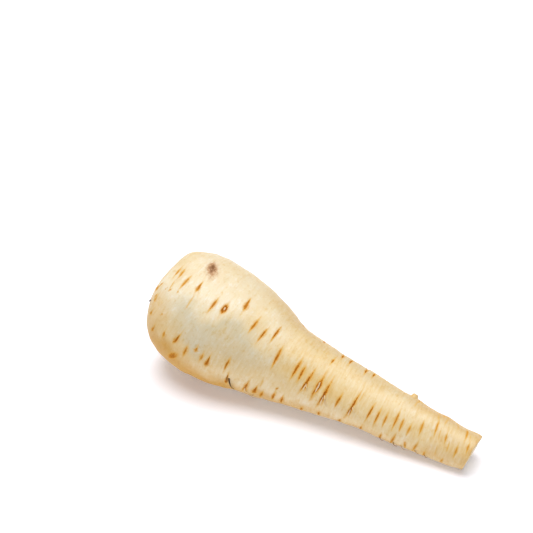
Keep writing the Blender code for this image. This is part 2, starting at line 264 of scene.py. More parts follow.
class Nodes:
    """The node tree of one material, with short calls that add to it."""

    def __init__(self, name: str) -> None:
        """Starts a material that holds only its shader and output.

        Args:
            name: The material's name.
        """
        self.material = bpy.data.materials.new(name)
        self.material.use_nodes = True
        self.tree = self.material.node_tree
        self.shader = self.tree.nodes["Principled BSDF"]

    def plug(self, socket: Socket, value: object) -> None:
        """Links a socket to another, or sets its value.

        Args:
            socket: The socket.
            value: The other socket, a number, or a colour without its alpha.
        """
        if isinstance(value, Socket):
            self.tree.links.new(value, socket)
        elif isinstance(value, tuple) and socket.type == "RGBA":
            socket.default_value = (*value, 1.0)
        else:
            socket.default_value = value

    def add(self, kind: str, inputs: dict[str | int, object], **settings: object) -> bpy.types.Node:
        """Adds a node.

        Args:
            kind: The node's type.
            inputs: A socket or a value for each input, by name or by index.
            settings: The node's own settings.

        Returns:
            The node.
        """
        node = self.tree.nodes.new(kind)
        for name, value in settings.items():
            setattr(node, name, value)
        for name, value in inputs.items():
            self.plug(node.inputs[name], value)
        return node

    def mark(self, mark: Mark) -> Socket:
        """A value that the piece's points hold."""
        return self.add("ShaderNodeAttribute", {}, attribute_name=mark.value).outputs["Fac"]

    def place(self, scale: Direction = (1, 1, 1)) -> Socket:
        """Object coordinates, stretched."""
        coordinates = self.add("ShaderNodeTexCoord", {}).outputs["Object"]
        return self.add("ShaderNodeMapping", {"Vector": coordinates, "Scale": scale}).outputs["Vector"]

    def rings(self, stretch: float) -> Socket:
        """Coordinates in which a cloud is drawn out round the root, along its growth rings.

        Args:
            stretch: How many times finer the cloud is along the root than round it.

        Returns:
            The coordinates.
        """
        split = self.add("ShaderNodeSeparateXYZ", {"Vector": self.place()}).outputs
        along = self.times(self.mark(Mark.RING), stretch)
        inputs = {"X": along, "Y": split["Y"], "Z": split["Z"]}
        return self.add("ShaderNodeCombineXYZ", inputs).outputs["Vector"]

    def noise(self, place: Socket, scale: float, detail: float = 3.0, roughness: float = 0.5) -> Socket:
        """Cloudy noise, from 0 to 1."""
        inputs = {"Vector": place, "Scale": scale, "Detail": detail, "Roughness": roughness}
        return self.add("ShaderNodeTexNoise", inputs).outputs["Fac"]

    def sum_of(self, operation: str, a: object, b: object, clamp: bool) -> Socket:
        """One sum."""
        return self.add("ShaderNodeMath", {0: a, 1: b}, operation=operation, use_clamp=clamp).outputs[0]

    def times(self, a: object, b: object, clamp: bool = False) -> Socket:
        """Two values multiplied."""
        return self.sum_of("MULTIPLY", a, b, clamp)

    def plus(self, a: object, b: object, clamp: bool = False) -> Socket:
        """Two values added."""
        return self.sum_of("ADD", a, b, clamp)

    def scaled(self, value: Socket, by: float, start: float, clamp: bool = False) -> Socket:
        """A value multiplied, then added to."""
        return self.plus(self.times(value, by), start, clamp)

    def rise(self, value: Socket, low: float, high: float, top: float = 1.0) -> Socket:
        """A smooth rise from 0 to top as value goes from low to high."""
        inputs = {"Value": value, "From Min": low, "From Max": high, "To Min": 0.0, "To Max": top}
        return self.add("ShaderNodeMapRange", inputs, interpolation_type="SMOOTHSTEP").outputs["Result"]

    def mix(self, share: object, a: object, b: object, blend: str = "MIX") -> Socket:
        """A mix of two colours.

        Args:
            share: How much of the second colour there is.
            a: The first colour.
            b: The second colour.
            blend: How they are mixed.

        Returns:
            The mixed colour.
        """
        node = self.add("ShaderNodeMix", {}, data_type="RGBA", blend_type=blend)
        for socket, value in ((node.inputs[0], share), (node.inputs[6], a), (node.inputs[7], b)):
            self.plug(socket, value)
        return node.outputs[2]

    def bump(self, height: Socket, strength: float, depth: float, under: Socket | None = None) -> Socket:
        """A normal raised by a height.

        Args:
            height: The height, from 0 to 1.
            strength: How strongly it shows.
            depth: How deep its full height is.
            under: The normal that it lies on.

        Returns:
            The normal.
        """
        inputs = {"Height": height, "Strength": strength, "Distance": depth}
        if under is not None:
            inputs["Normal"] = under
        return self.add("ShaderNodeBump", inputs).outputs["Normal"]

    def dress(self, **inputs: object) -> bpy.types.Material:
        """Sets the shader's inputs.

        Args:
            inputs: A value for each input, with _ for the spaces in its name.

        Returns:
            The material.
        """
        for name, value in inputs.items():
            self.plug(self.shader.inputs[name.replace("_", " ")], value)
        return self.material


class ScarKind(Enum):
    """What a snapped side root left."""

    SLIT = "a slit that is widest above its middle"
    DROP = "a smear that widens to a round spot"
    FORK = "a slit whose lower end parts round a stub"
    EYE = "a long slit that opens round a stub"
    RING = "a small dark ring round a pale stub"
    KNOT = "a round rough spot"
    LINE = "a fine line with no depth"


SLIT, DROP, FORK, EYE, RING, KNOT, LINE = ScarKind


@dataclass(frozen=True)
class Scar:
    """One scar on the root's skin."""

    distance: float
    turn: float
    size: float
    tilt: float
    kind: ScarKind
    strength: float = 1.0


ScarTable = tuple[tuple[float | ScarKind, ...], ...]


@dataclass(frozen=True)
class ScarPattern:
    """Where the scars are: (distance, turn, size), then a kind and a strength where they differ.

    A back rank is (turn at the rim, turn at the tail, its first distance, its last).
    """

    upper_front: ScarTable = (
        (9, 23, 0.5, SLIT, 0.75), (12, 23, 0.6, SLIT, 0.75), (18, 29, 0.8, SLIT, 0.85),
        (27, 25, 0.7, DROP, 1.15), (41, 33, 0.8), (48, 30, 0.9, RING, 1.35), (57, 12, 0.9, DROP),
        (67, 27, 0.8), (74, 30, 0.9), (80, 18, 1.0), (88, 45, 1.2), (101, 48, 1.2), (105, 50, 0.9),
        (110, 58, 1.2, FORK, 1.1), (117, 58, 1.4, EYE), (122, 67, 1.4, FORK, 1.2), (131, 69, 0.8),
        (140, 67, 1.3, FORK, 1.2), (151, 65, 1.0), (156, 68, 0.9), (161, 67, 0.7), (167, 57, 1.0),
        (171, 62, 0.7), (176, 66, 0.6), (182, 47, 0.7), (189, 29, 0.75), (196, 43, 0.45), (204, 64, 0.6),
        (209, 41, 0.45),
    )
    lower_front: ScarTable = (
        (4, 50, 0.4), (7, 60, 0.4, DROP, 0.6), (8, 76, 0.5, DROP), (13, 90, 0.7, DROP, 1.5),
        (22, 84, 0.5, DROP), (31, 80, 0.9, DROP, 1.5), (38, 89, 0.8), (44, 80, 0.4, DROP), (48, 86, 0.5),
        (52, 87, 0.9, DROP, 1.25), (64, 84, 0.9), (66, 105, 1.1, DROP, 1.3), (77, 110, 1.0, FORK),
        (82, 108, 0.9, DROP, 1.2), (85, 117, 0.7), (92, 112, 0.8), (97, 117, 0.9), (109, 126, 0.6),
        (120, 122, 0.6), (133, 124, 0.7), (147, 120, 0.8), (160, 118, 0.8), (168, 112, 1.1),
        (176, 112, 0.7), (182, 106, 0.8), (188, 118, 0.6), (199, 116, 0.5),
    )
    top: ScarTable = (
        (103, -41, 0.6), (117, 2, 0.35), (119, -28, 0.7), (125, -26, 0.7), (136, -23, 0.65),
        (141, -27, 0.65), (204, 1, 0.85),
    )
    knots: ScarTable = (
        (30.5, 104, 1.1, KNOT, 1.05), (3, 50, 0.4), (5, 43, 0.3), (6, 57, 0.3, KNOT, 0.6), (10, 44, 0.2),
        (13, 43, 0.3), (18, 41, 0.2), (16, 68, 0.25, KNOT, 0.6), (94, 91, 0.3), (150, -150, 0.6),
        (58, -162, 0.9), (4, -70, 0.4), (3, 150, 0.4),
    )
    lines: ScarTable = (
        (186, -14, 1.3), (191, -20, 1.6), (197, -24, 1.4), (192, 40, 0.8), (199, 60, 0.8), (194, 86, 0.9),
        (172, -12, 1.0), (28, 42, 1.2), (12, 38, 0.8), (85, 92, 0.8), (143, 42, 0.8), (207, 12, 0.6),
        (72, -110, 2.3), (120, -95, 1.9), (166, -100, 1.5), (176, 165, 1.2), (140, 170, 1.4),
        (196, -150, 1.8),
    )
    back_ranks: Table = ((-68, -58, 10, 200), (-140, -122, 6, 204))
    back_begins: float = -55.0
    back_spacing: Span = (4 * MM, 9 * MM)
    back_kinds: tuple[ScarKind, ...] = (SLIT, SLIT, DROP, FORK, EYE)
    turn_spread: float = 8.0
    sizes: Span = (0.5, 1.2)
    large: float = 0.9
    tilt_spread: float = 0.06
    seed: int = 11
    looks_seed: int = 3

    def listed(self, rows: ScarTable, kind: ScarKind, looks: random.Random) -> list[Scar]:
        """The scars of a table.

        Args:
            rows: The table.
            kind: The kind of the scars that name none.
            looks: Where their tilts are drawn from.

        Returns:
            The scars.
        """
        found = []
        for distance, turn, size, *own in rows:
            tilt = looks.gauss(0, self.tilt_spread)
            found.append(Scar(distance * MM, turn, size, tilt, *(own or [kind])))
        return found

    def scars(self, length: float) -> list[Scar]:
        """Every scar on a root of the given length.

        Args:
            length: The root's length.

        Returns:
            The scars, in the order that they are drawn in.
        """
        draw, looks = random.Random(self.seed), random.Random(self.looks_seed)
        found = []
        for rows in (self.upper_front, self.lower_front, self.top):
            found += self.listed(rows, SLIT, looks)
        for rim_turn, tail_turn, first, last in self.back_ranks:
            distance = first * MM
            while distance < last * MM:
                turn = rim_turn + (tail_turn - rim_turn) * distance / length
                turn = min(turn + draw.gauss(0, self.turn_spread), self.back_begins)
                size = draw.uniform(*self.sizes)
                kind = looks.choice(self.back_kinds) if size > self.large else SLIT
                found.append(Scar(distance, turn, size, looks.gauss(0, self.tilt_spread), kind))
                distance += draw.uniform(*self.back_spacing)
        return found + self.listed(self.knots, KNOT, looks) + self.listed(self.lines, LINE, looks)


@dataclass(frozen=True)
class Rows:
    """The rows of points that the skin is made of, from rim to cut: every row has the same turns."""

    distance: Array
    radius: Array
    length: Array
    turn: Array

    def around(self, turn: float) -> Array:
        """How far round the root each point is from a turn."""
        return np.radians(turn_gap(self.turn, turn)) * self.radius[:, None]

    def at(self, distance: float, turn: float) -> "Rows":
        """A single row with a single point in it.

        Args:
            distance: Where the row is.
            turn: Its one point's turn.

        Returns:
            The row.
        """
        place = np.array((distance,))
        radius, length = (np.interp(place, self.distance, values) for values in (self.radius, self.length))
        return Rows(place, radius, length, np.array((turn,)))


@dataclass(frozen=True)
class SkinZones:
    """Soft-edged zones with a tint: (strength, distance, half distance, turn, half turn). The pale zone is
    paler skin and also painted highlight on the head's upper front; the tan zone is tan skin and also painted
    shade on the head's lower front and along the top of the neck.

    The blotch has a place (distance, turn), half sizes (lengthwise, crosswise) and a fade (rate, power).
    """

    # The pale zone is partly the skin's paler tone and partly painted highlight: its strong patches on the
    # head's upper front paint the brightness of the light falling there.
    pale: Table = (
        (1, 31, 22, 20, 26), (0.4, 66, 24, 10, 24), (0.3, 155, 46, 14, 20), (0.3, 84, 22, 6, 9),
        (0.18, 95, 40, 100, 14), (0.45, 30, 40, -26, 30), (0.95, 14, 18, 46, 18), (0.45, 198, 14, 45, 22),
        (0.6, 44, 30, -100, 26),
    )
    grey: Table = (
        (0.95, 46, 27, 63, 19), (0.5, 84, 30, 50, 20), (0.38, 128, 84, -22, 22), (0.24, 130, 60, 52, 18),
        (0.3, 198, 16, 2, 26), (0.7, 60, 40, -145, 26),
    )
    ochre: Table = (
        (0.25, 72, 20, 62, 12), (0.35, 40, 30, 76, 12), (0.25, 17, 9, 27, 12), (0.65, 111, 22, 54, 16),
        (0.25, 168, 34, 52, 18), (0.25, 116, 32, 6, 16), (0.6, 140, 50, -90, 20), (0.4, 150, 50, 170, 24),
    )
    # The tan zone is partly the skin's own tan and partly painted shade: the strong patches on the head's
    # lower front paint a cast shadow, and the wide one at turn -42 paints the shade along the top of the
    # neck.
    tan: Table = (
        (0.16, 84, 22, -20, 14), (0.08, 130, 60, 52, 18), (0.13, 198, 16, 2, 26), (0.42, 6, 14, 82, 28),
        (0.10, 20, 24, -4, 20), (0.42, 140, 70, 128, 17), (1.25, 25, 22, 119, 24), (0.9, 52, 18, 132, 18),
        (0.3, 70, 36, 128, 16), (0.28, 130, 80, -42, 36), (0.4, 192, 26, -28, 34), (0.25, 208, 14, 85, 60),
        (0.5, 24, 30, 165, 30),
    )
    cloud_size: float = 22 * MM
    cloud_octaves: int = 3
    shift: float = 10 * MM
    turn_shift: float = 16.0
    edge_shift: float = 2 * MM
    edge_powers: Span = (4, 2.5)
    rim_width: float = 4 * MM
    rim_tan: float = 0.6
    cut_width: float = 3.5 * MM
    cut_tan: float = 0.25
    blotch: Span = (24.3 * MM, -1.0)
    blotch_half: Span = (5.8 * MM, 3.2 * MM)
    blotch_slant: float = math.radians(35.0)
    blotch_strength: float = 1.45
    blotch_fade: Span = (1.1, 1.6)
    blotch_unevenness: float = 0.5
    strongest: float = 1.3

    def marks(self, rows: Rows, points: Array) -> dict[Mark, Array]:
        """How strongly each tint shows at every point of the skin.

        Args:
            rows: The skin's rows.
            points: The skin's points.

        Returns:
            An array for each mark.
        """
        d = rows.distance[:, None]
        cloud = cloud_noise(points, self.cloud_size, self.cloud_octaves)
        tables = {Mark.PALE_AND_HIGHLIGHT: self.pale, Mark.GREY: self.grey, Mark.TAN_AND_SHADE: self.tan, Mark.OCHRE: self.ochre}
        found = {mark: np.zeros(cloud.shape) for mark in tables}
        along_power, around_power = self.edge_powers
        for mark, table in tables.items():
            for strength, at, half, turn, half_turn in table:
                along = (d - at * MM + self.shift * cloud) / (half * MM)
                around = turn_gap(rows.turn + self.turn_shift * cloud, turn) / half_turn
                fade = np.exp(-(along**along_power)) * np.exp(-(np.abs(around) ** around_power))
                found[mark] += strength * fade
        edge = d + self.edge_shift * cloud
        cut = rows.distance[-1]
        found[Mark.TAN_AND_SHADE] += self.rim_tan * (1 - smooth_step(0, self.rim_width, edge))
        found[Mark.TAN_AND_SHADE] += self.cut_tan * smooth_step(cut - self.cut_width, cut, edge)
        along, around = d - self.blotch[0], rows.around(self.blotch[1])
        sine, cosine = math.sin(self.blotch_slant), math.cos(self.blotch_slant)
        lengthwise = (along * sine + around * cosine) / self.blotch_half[0]
        crosswise = (along * cosine - around * sine) / self.blotch_half[1]
        away = np.hypot(lengthwise, crosswise) + self.blotch_unevenness * cloud
        rate, power = self.blotch_fade
        found[Mark.BRUISE] = self.blotch_strength * np.exp(-rate * away**power)
        return {mark: np.clip(values, 0, self.strongest) for mark, values in found.items()}


@dataclass(frozen=True)
class Arm:
    """One arm of a scar that parts in two, in half lengths and half widths of the scar."""

    strength: float
    reach: float
    aside: float
    up: float = 0.0
    narrowness: float = 1.0

    def slit(self, u: Array, v: Array, opening: Array) -> Array:
        """The arm's slit, over 0 inside it."""
        along = self.strength * (1 - ((u + self.up) / self.reach) ** 2)
        return along - np.abs(v - self.aside * opening) * self.narrowness


@dataclass(frozen=True)
class Parting:
    """A scar that parts in two arms round a stub."""

    left: Arm
    right: Arm
    stub_aside: float
    stub_width: float
    stub_rises: Span
    stub_falls: Span
    narrowest: float = 0.05

    def shape(self, u: Array, v: Array, opening: Array) -> tuple[Array, Array]:
        """The scar's shape.

        Args:
            u: Places round the root from the scar's middle, in half lengths, down positive.
            v: Places along the root from its middle, in half widths.
            opening: How far its arms stand apart there.

        Returns:
            Its slit (over 0 inside it) and its stub.
        """
        slit = np.maximum(self.left.slit(u, v, opening), self.right.slit(u, v, opening))
        aside = np.abs(v - self.stub_aside * opening)
        inside = np.clip(1 - aside / np.maximum(self.stub_width * opening, self.narrowest), 0, 1)
        ends = smooth_step(*self.stub_rises, u) * (1 - smooth_step(*self.stub_falls, u))
        return slit, inside * ends


@dataclass(frozen=True)
class ScarRelief:
    """How a scar is cut into the skin: its outline, its depth and its darkness.

    Shares are (for the smallest scar, what full size adds), strengths (in the middle, how fast they fade) and
    a knot's stretch (round the root, along it).
    """

    half_length: float = 5.0 * MM
    half_width: float = 0.72 * MM
    width_shares: Span = (0.7, 0.3)
    widths: Curve = ((0, 0.8), (20, 0.9), (40, 1.1), (75, 1.0), (110, 1.0), (150, 0.8), (212, 0.75))
    darkness: Curve = (
        (0, 0.40), (30, 0.70), (70, 0.8), (105, 0.95), (140, 1.0), (160, 0.7), (180, 0.42), (212, 0.4)
    )
    darkness_shares: Span = (0.6, 0.4)
    slit_taper: float = 0.35
    drop_widths: Span = (0.35, 1.05)
    drop_widens: Span = (-0.8, 0.5)
    fork: Parting = Parting(
        left=Arm(strength=0.85, reach=1.35, aside=-0.8, narrowness=1.15),
        right=Arm(strength=0.80, reach=0.85, aside=1.5, narrowness=1.15),
        stub_aside=0.35, stub_width=0.85, stub_rises=(0.05, 0.3), stub_falls=(0.8, 1.1),
    )
    fork_opens: float = 0.2
    fork_closes: float = 2.2
    eye: Parting = Parting(
        left=Arm(strength=0.80, reach=1.25, aside=-1.0),
        right=Arm(strength=0.90, reach=0.8, aside=1.0, up=0.2),
        stub_aside=0.0, stub_width=1.0, stub_rises=(-0.4, -0.1), stub_falls=(0.3, 0.8),
    )
    eye_width: float = 0.8
    eye_opens: Span = (-0.65, -0.25)
    knot_radius: float = 2.9 * MM
    knot_height: float = 0.2 * MM
    knot_stretch: Span = (1.5, 0.75)
    knot_slant: float = 0.3
    knot_strength: Span = (0.95, 1.3)
    ring_radius: float = 1.1 * MM
    ring_stretch: float = 1.7
    ring_strength: Span = (1.1, 1.7)
    ring_middle: float = 0.95
    ring_stub: float = 0.5
    line_strength: float = 1.3
    line_width: float = 0.7
    streak_reach: float = 0.9
    streak_width: float = 0.9
    streak_power: float = 1.5
    depth: float = 0.45 * MM
    full_depth: float = 0.8
    lip_height: float = 0.2
    lip_outside: float = 0.5
    lip_spread: float = 0.15
    stub_height: float = 0.5
    reach: float = 14 * MM

    def shape(self, kind: ScarKind, u: Array, v: Array) -> tuple[Array, Array]:
        """The outline of a scar with a slit.

        Args:
            kind: The scar's kind.
            u: Places round the root from the scar's middle, in half lengths, down positive.
            v: Places along the root from its middle, in half widths.

        Returns:
            Its slit (over 0 inside it) and its stub.
        """
        if kind is EYE:
            return self.eye.shape(u, v, self.eye_width * smooth_step(*self.eye_opens, u))
        side, none = np.abs(v), np.zeros_like(u)
        if kind is DROP:
            narrow, wider = self.drop_widths
            return 1 - u**4 - side / (narrow + wider * smooth_step(*self.drop_widens, u)), none
        slit = 1 - u**2 - side / (1 - self.slit_taper * np.clip(u, -1, 1))
        if kind is FORK:
            opening = np.clip(u + self.fork_opens, 0, None)
            arms, stub = self.fork.shape(u, v, opening)
            return np.maximum(arms, slit - self.fork_closes * opening), stub
        return slit, none

    def marks(self, scar: Scar, arc: Array, across: Array) -> tuple[Array, Array, Array, Array]:
        """What one scar does to the skin near it.

        Args:
            scar: The scar.
            arc: How far round the root each point is from the scar's middle, down positive.
            across: How far along the root it is.

        Returns:
            The scar's slit (over 0 inside it), streak, stub and height.
        """
        u = arc / (self.half_length * scar.size)
        half_width = self.half_width * float(smooth_curve(self.widths, scar.distance))
        v = across / (half_width * (self.width_shares[0] + self.width_shares[1] * scar.size))
        none = np.zeros_like(u)
        if scar.kind is LINE:
            streak = np.clip(self.line_strength - self.line_strength * u**2, 0, 1)
            return none + NO_SLIT, streak * bell(v / self.line_width), none, none
        if scar.kind is KNOT:
            longer, shorter = self.knot_stretch
            away = np.hypot(arc / longer, (across + self.knot_slant * arc) / shorter)
            spot = away / (self.knot_radius * scar.size)
            inner, fade = self.knot_strength
            return inner - fade * spot**2, none, none, self.knot_height * np.exp(-(spot**4))
        if scar.kind is RING:
            ring = np.hypot(arc / self.ring_stretch, across) / self.ring_radius
            inner, fade = self.ring_strength
            slit = inner - fade * np.abs(ring - self.ring_middle)
            stub = np.exp(-((ring / self.ring_stub) ** 4))
        else:
            slit, stub = self.shape(scar.kind, u, v)
        reach = self.half_length * (scar.size + self.streak_reach)
        streak = np.clip(1 - (arc / reach) ** 2, 0, 1) ** self.streak_power
        streak *= bell(v / self.streak_width)
        lip = np.exp(-((slit + self.lip_outside) ** 2) / self.lip_spread)
        height = self.lip_height * lip + self.stub_height * stub - smooth_step(0, self.full_depth, slit)
        return slit, streak, stub, self.depth * height

    def strength(self, scar: Scar) -> float:
        """How dark a scar is, from 0 to a little over 1.

        Args:
            scar: The scar.

        Returns:
            Its darkness.
        """
        least, rest = self.darkness_shares
        share = least + rest * min(scar.size, 1.0)
        return float(smooth_curve(self.darkness, scar.distance)) * (scar.strength * share)


@dataclass(frozen=True)
class SkinFinish:
    """Washed parsnip skin: cream, greyer and tanner in places, satin, with fine rings round the root. Its
    pale tint also paints highlight, its tan tint also paints shade, and the crown's hollow is darkened with
    painted shade.
    """

    cream: Colour = (0.77, 0.585, 0.30)
    pale: Colour = (0.84, 0.735, 0.53)
    # The pale colour is also the painted highlight on the head's upper front.
    grey: Colour = (0.63, 0.555, 0.385)
    # The tan colour is also the painted shade on the head's lower front and along the top of the neck.
    tan: Colour = (0.62, 0.345, 0.065)
    ochre: Colour = (0.68, 0.46, 0.16)
    deeper: Colour = (0.92, 0.80, 0.56)
    lighter: Colour = (1.05, 1.14, 1.40)
    halo: Colour = (0.70, 0.39, 0.055)
    orange: Colour = (0.58, 0.205, 0.004)
    dark: Colour = (0.27, 0.07, 0.001)
    stub: Colour = (0.76, 0.60, 0.38)
    bruise: Colour = (0.21, 0.09, 0.03)
    bruise_edge: Colour = (0.53, 0.29, 0.14)
    # Painted shade: the crown's hollow is darkened towards its floor with this brown.
    painted_recess_shade: Colour = (0.42, 0.30, 0.13)
    ring_stretch: float = 9.0
    blot_stretch: float = 2.2
    cloud_noise: Settings = (70, 4)
    blot_noise: Settings = (190, 3, 0.6)
    ring_noise: Settings = (80, 4, 0.65)
    grain_noise: Settings = (900, 3, 0.6)
    mottle_noise: Settings = (420, 2, 0.6)
    ragged_ring_noise: Settings = (260, 3, 0.7)
    ragged_noise: Settings = (800, 3, 0.7)
    swelling_noise: Settings = (140, 3)
    lines_begin: Span = (70 * MM, 130 * MM)
    lines_share: Span = (0.45, 0.55)
    paler: Settings = (0.45, 0.75, 0.5)
    zone_share: Span = (0.9, 0.55)
    ring_spots: Settings = (0.5, 0.68, 0.5)
    blot_spots: Settings = (0.55, 0.74, 0.65)
    mottle_spots: Settings = (0.56, 0.72, 0.45)
    grain_spots: Settings = (0.58, 0.78, 0.35)
    streak_gaps: Span = (0.15, 0.6)
    streak_share: float = 0.9
    raggedness: float = 1.9
    halo_rise: Settings = (-2.0, 0.1, 0.65)
    orange_rise: Span = (-0.6, 0.6)
    orange_share: Span = (0.6, 0.4)
    dark_rise: Span = (0.1, 0.9)
    dark_share: Span = (1.4, -0.63)
    stub_rise: Span = (0.2, 0.7)
    bruise_unevenness: float = 1.3
    bruise_begins: Span = (0.0, 0.4)
    bruise_edge_rise: Settings = (0.0, 0.75, 0.9)
    bruise_rise: Settings = (0.55, 1.15, 0.95)
    swelling_bump: Span = (0.20, 1.0 * MM)
    ring_bump: Span = (0.14, 0.5 * MM)
    grain_bump: Span = (0.20, 0.2 * MM)
    roughness_share: Span = (0.16, 0.38)
    slit_roughness: Settings = (-0.6, 0.4, 0.4)

    def material(self) -> bpy.types.Material:
        """Makes the finish's material.

        Returns:
            The material.
        """
        n = Nodes("parsnip_skin")
        place, rings = n.place(), n.rings(self.ring_stretch)
        cloud = n.noise(place, *self.cloud_noise)
        blots = n.noise(n.rings(self.blot_stretch), *self.blot_noise)
        fine_rings = n.noise(rings, *self.ring_noise)
        grain = n.noise(place, *self.grain_noise)
        mottle = n.noise(place, *self.mottle_noise)
        uneven = n.plus(n.noise(rings, *self.ragged_ring_noise), n.noise(place, *self.ragged_noise))
        slit = n.plus(n.mark(Mark.SLIT), n.scaled(uneven, self.raggedness, -self.raggedness))

        colour = n.mix(n.rise(cloud, *self.paler), self.cream, self.pale)
        colour = self.zones(n, colour, cloud)
        lined = n.scaled(n.rise(n.mark(Mark.RING), *self.lines_begin), *self.lines_share)
        spots = (
            (fine_rings, self.ring_spots, lined), (blots, self.blot_spots, 1.0),
            (mottle, self.mottle_spots, 1.0), (grain, self.grain_spots, 1.0),
        )
        for cover, (low, high, strength), share in spots:
            deep = n.times(n.rise(cover, low, high, strength), share)
            light = n.times(n.rise(cover, 1 - low, 1 - high, strength), share)
            colour = n.mix(deep, colour, self.deeper, "MULTIPLY")
            colour = n.mix(light, colour, self.lighter, "MULTIPLY")
        colour = self.scars(n, colour, slit, blots)
        colour = self.blotch(n, colour, n.plus(blots, mottle))
        # Painted shade in the crown's hollow.
        colour = n.mix(n.mark(Mark.PAINTED_RECESS_SHADE), colour, self.painted_recess_shade)

        normal = n.bump(n.noise(place, *self.swelling_noise), *self.swelling_bump)
        normal = n.bump(fine_rings, *self.ring_bump, normal)
        normal = n.bump(grain, *self.grain_bump, normal)
        rough = n.plus(n.scaled(grain, *self.roughness_share), n.rise(slit, *self.slit_roughness), clamp=True)
        return n.dress(
            Base_Color=colour, Roughness=rough, Normal=normal, Specular_IOR_Level=0.22,
            Subsurface_Weight=0.08, Subsurface_Radius=(1.0, 0.6, 0.3), Subsurface_Scale=1.0 * MM,
        )

    def zones(self, n: Nodes, colour: Socket, cloud: Socket) -> Socket:
        """The colour with the zones over it.

        Args:
            n: The material's nodes.
            colour: The colour under the zones.
            cloud: The noise that makes their strength uneven.

        Returns:
            The colour.
        """
        uneven = n.scaled(cloud, *self.zone_share)
        # The pale tint also stands for painted highlight, and the tan tint for painted shade, where their
        # zones say so.
        tints = {Mark.PALE_AND_HIGHLIGHT: self.pale, Mark.GREY: self.grey, Mark.OCHRE: self.ochre, Mark.TAN_AND_SHADE: self.tan}
        for mark, tint in tints.items():
            colour = n.mix(n.times(n.mark(mark), uneven, clamp=True), colour, tint)
        return colour

    def scars(self, n: Nodes, colour: Socket, slit: Socket, blots: Socket) -> Socket:
        """The colour with the scars over it.

        Args:
            n: The material's nodes.
            colour: The colour under the scars.
            slit: Where the scars are, over 0 inside them.
            blots: The noise that breaks up their streaks.

        Returns:
            The colour.
        """
        streak = n.times(n.mark(Mark.STREAK), n.rise(blots, *self.streak_gaps))
        colour = n.mix(n.times(streak, self.streak_share, clamp=True), colour, self.halo)
        dark = n.mark(Mark.DARK)
        layers = (
            (self.halo_rise, 1.0, self.halo),
            (self.orange_rise, n.scaled(dark, *self.orange_share), self.orange),
            (self.dark_rise, n.scaled(dark, *self.dark_share, clamp=True), self.dark),
        )
        for rise, share, tint in layers:
            colour = n.mix(n.times(n.rise(slit, *rise), share), colour, tint)
        return n.mix(n.rise(n.mark(Mark.STUB), *self.stub_rise), colour, self.stub)

    def blotch(self, n: Nodes, colour: Socket, noises: Socket) -> Socket:
        """The colour with the bruise over it.

        Args:
            n: The material's nodes.
            colour: The colour under the bruise.
            noises: The sum of two noises, which makes its edge uneven.

        Returns:
            The colour.
        """
        bruised = n.mark(Mark.BRUISE)
        uneven = n.scaled(noises, self.bruise_unevenness, -self.bruise_unevenness)
        bruise = n.plus(bruised, n.times(uneven, n.rise(bruised, *self.bruise_begins)))
        colour = n.mix(n.rise(bruise, *self.bruise_edge_rise), colour, self.bruise_edge)
        return n.mix(n.rise(bruise, *self.bruise_rise), colour, self.bruise)


@dataclass(frozen=True)
class CutFinish:
    """The cut through the tail: pale flesh round a woody core."""

    flesh: Colour = (0.86, 0.76, 0.53)
    core: Colour = (0.80, 0.66, 0.36)
    edge: Colour = (0.62, 0.42, 0.19)
    grain_noise: Settings = (1200, 3, 0.6)
    core_ends: Span = (0.56, 0.46)
    ring_begins: Span = (0.42, 0.5)
    ring_ends: Span = (0.58, 0.5)
    ring_share: float = 0.6
    ray_rise: Span = (0.2, 1.0)
    ray_share: float = 0.3
    rim_rise: Settings = (0.86, 1.0, 0.75)
    grain_rise: Settings = (0.4, 0.8, 0.3)
    grain_bump: Span = (0.4, 0.3 * MM)

    def material(self) -> bpy.types.Material:
        """Makes the finish's material.

        Returns:
            The material.
        """
        n = Nodes("parsnip_cut")
        out = n.mark(Mark.CORE)
        grain = n.noise(n.place(), *self.grain_noise)
        ring = n.times(n.rise(out, *self.ring_begins), n.rise(out, *self.ring_ends))
        colour = n.mix(n.rise(out, *self.core_ends), self.flesh, self.core)
        colour = n.mix(n.times(ring, self.ring_share), colour, self.edge)
        colour = n.mix(n.times(n.rise(n.mark(Mark.RAY), *self.ray_rise), self.ray_share), colour, self.core)
        colour = n.mix(n.rise(out, *self.rim_rise), colour, self.edge)
        colour = n.mix(n.rise(grain, *self.grain_rise), colour, self.edge)
        normal = n.bump(grain, *self.grain_bump)
        return n.dress(Base_Color=colour, Roughness=0.62, Normal=normal, Specular_IOR_Level=0.35)


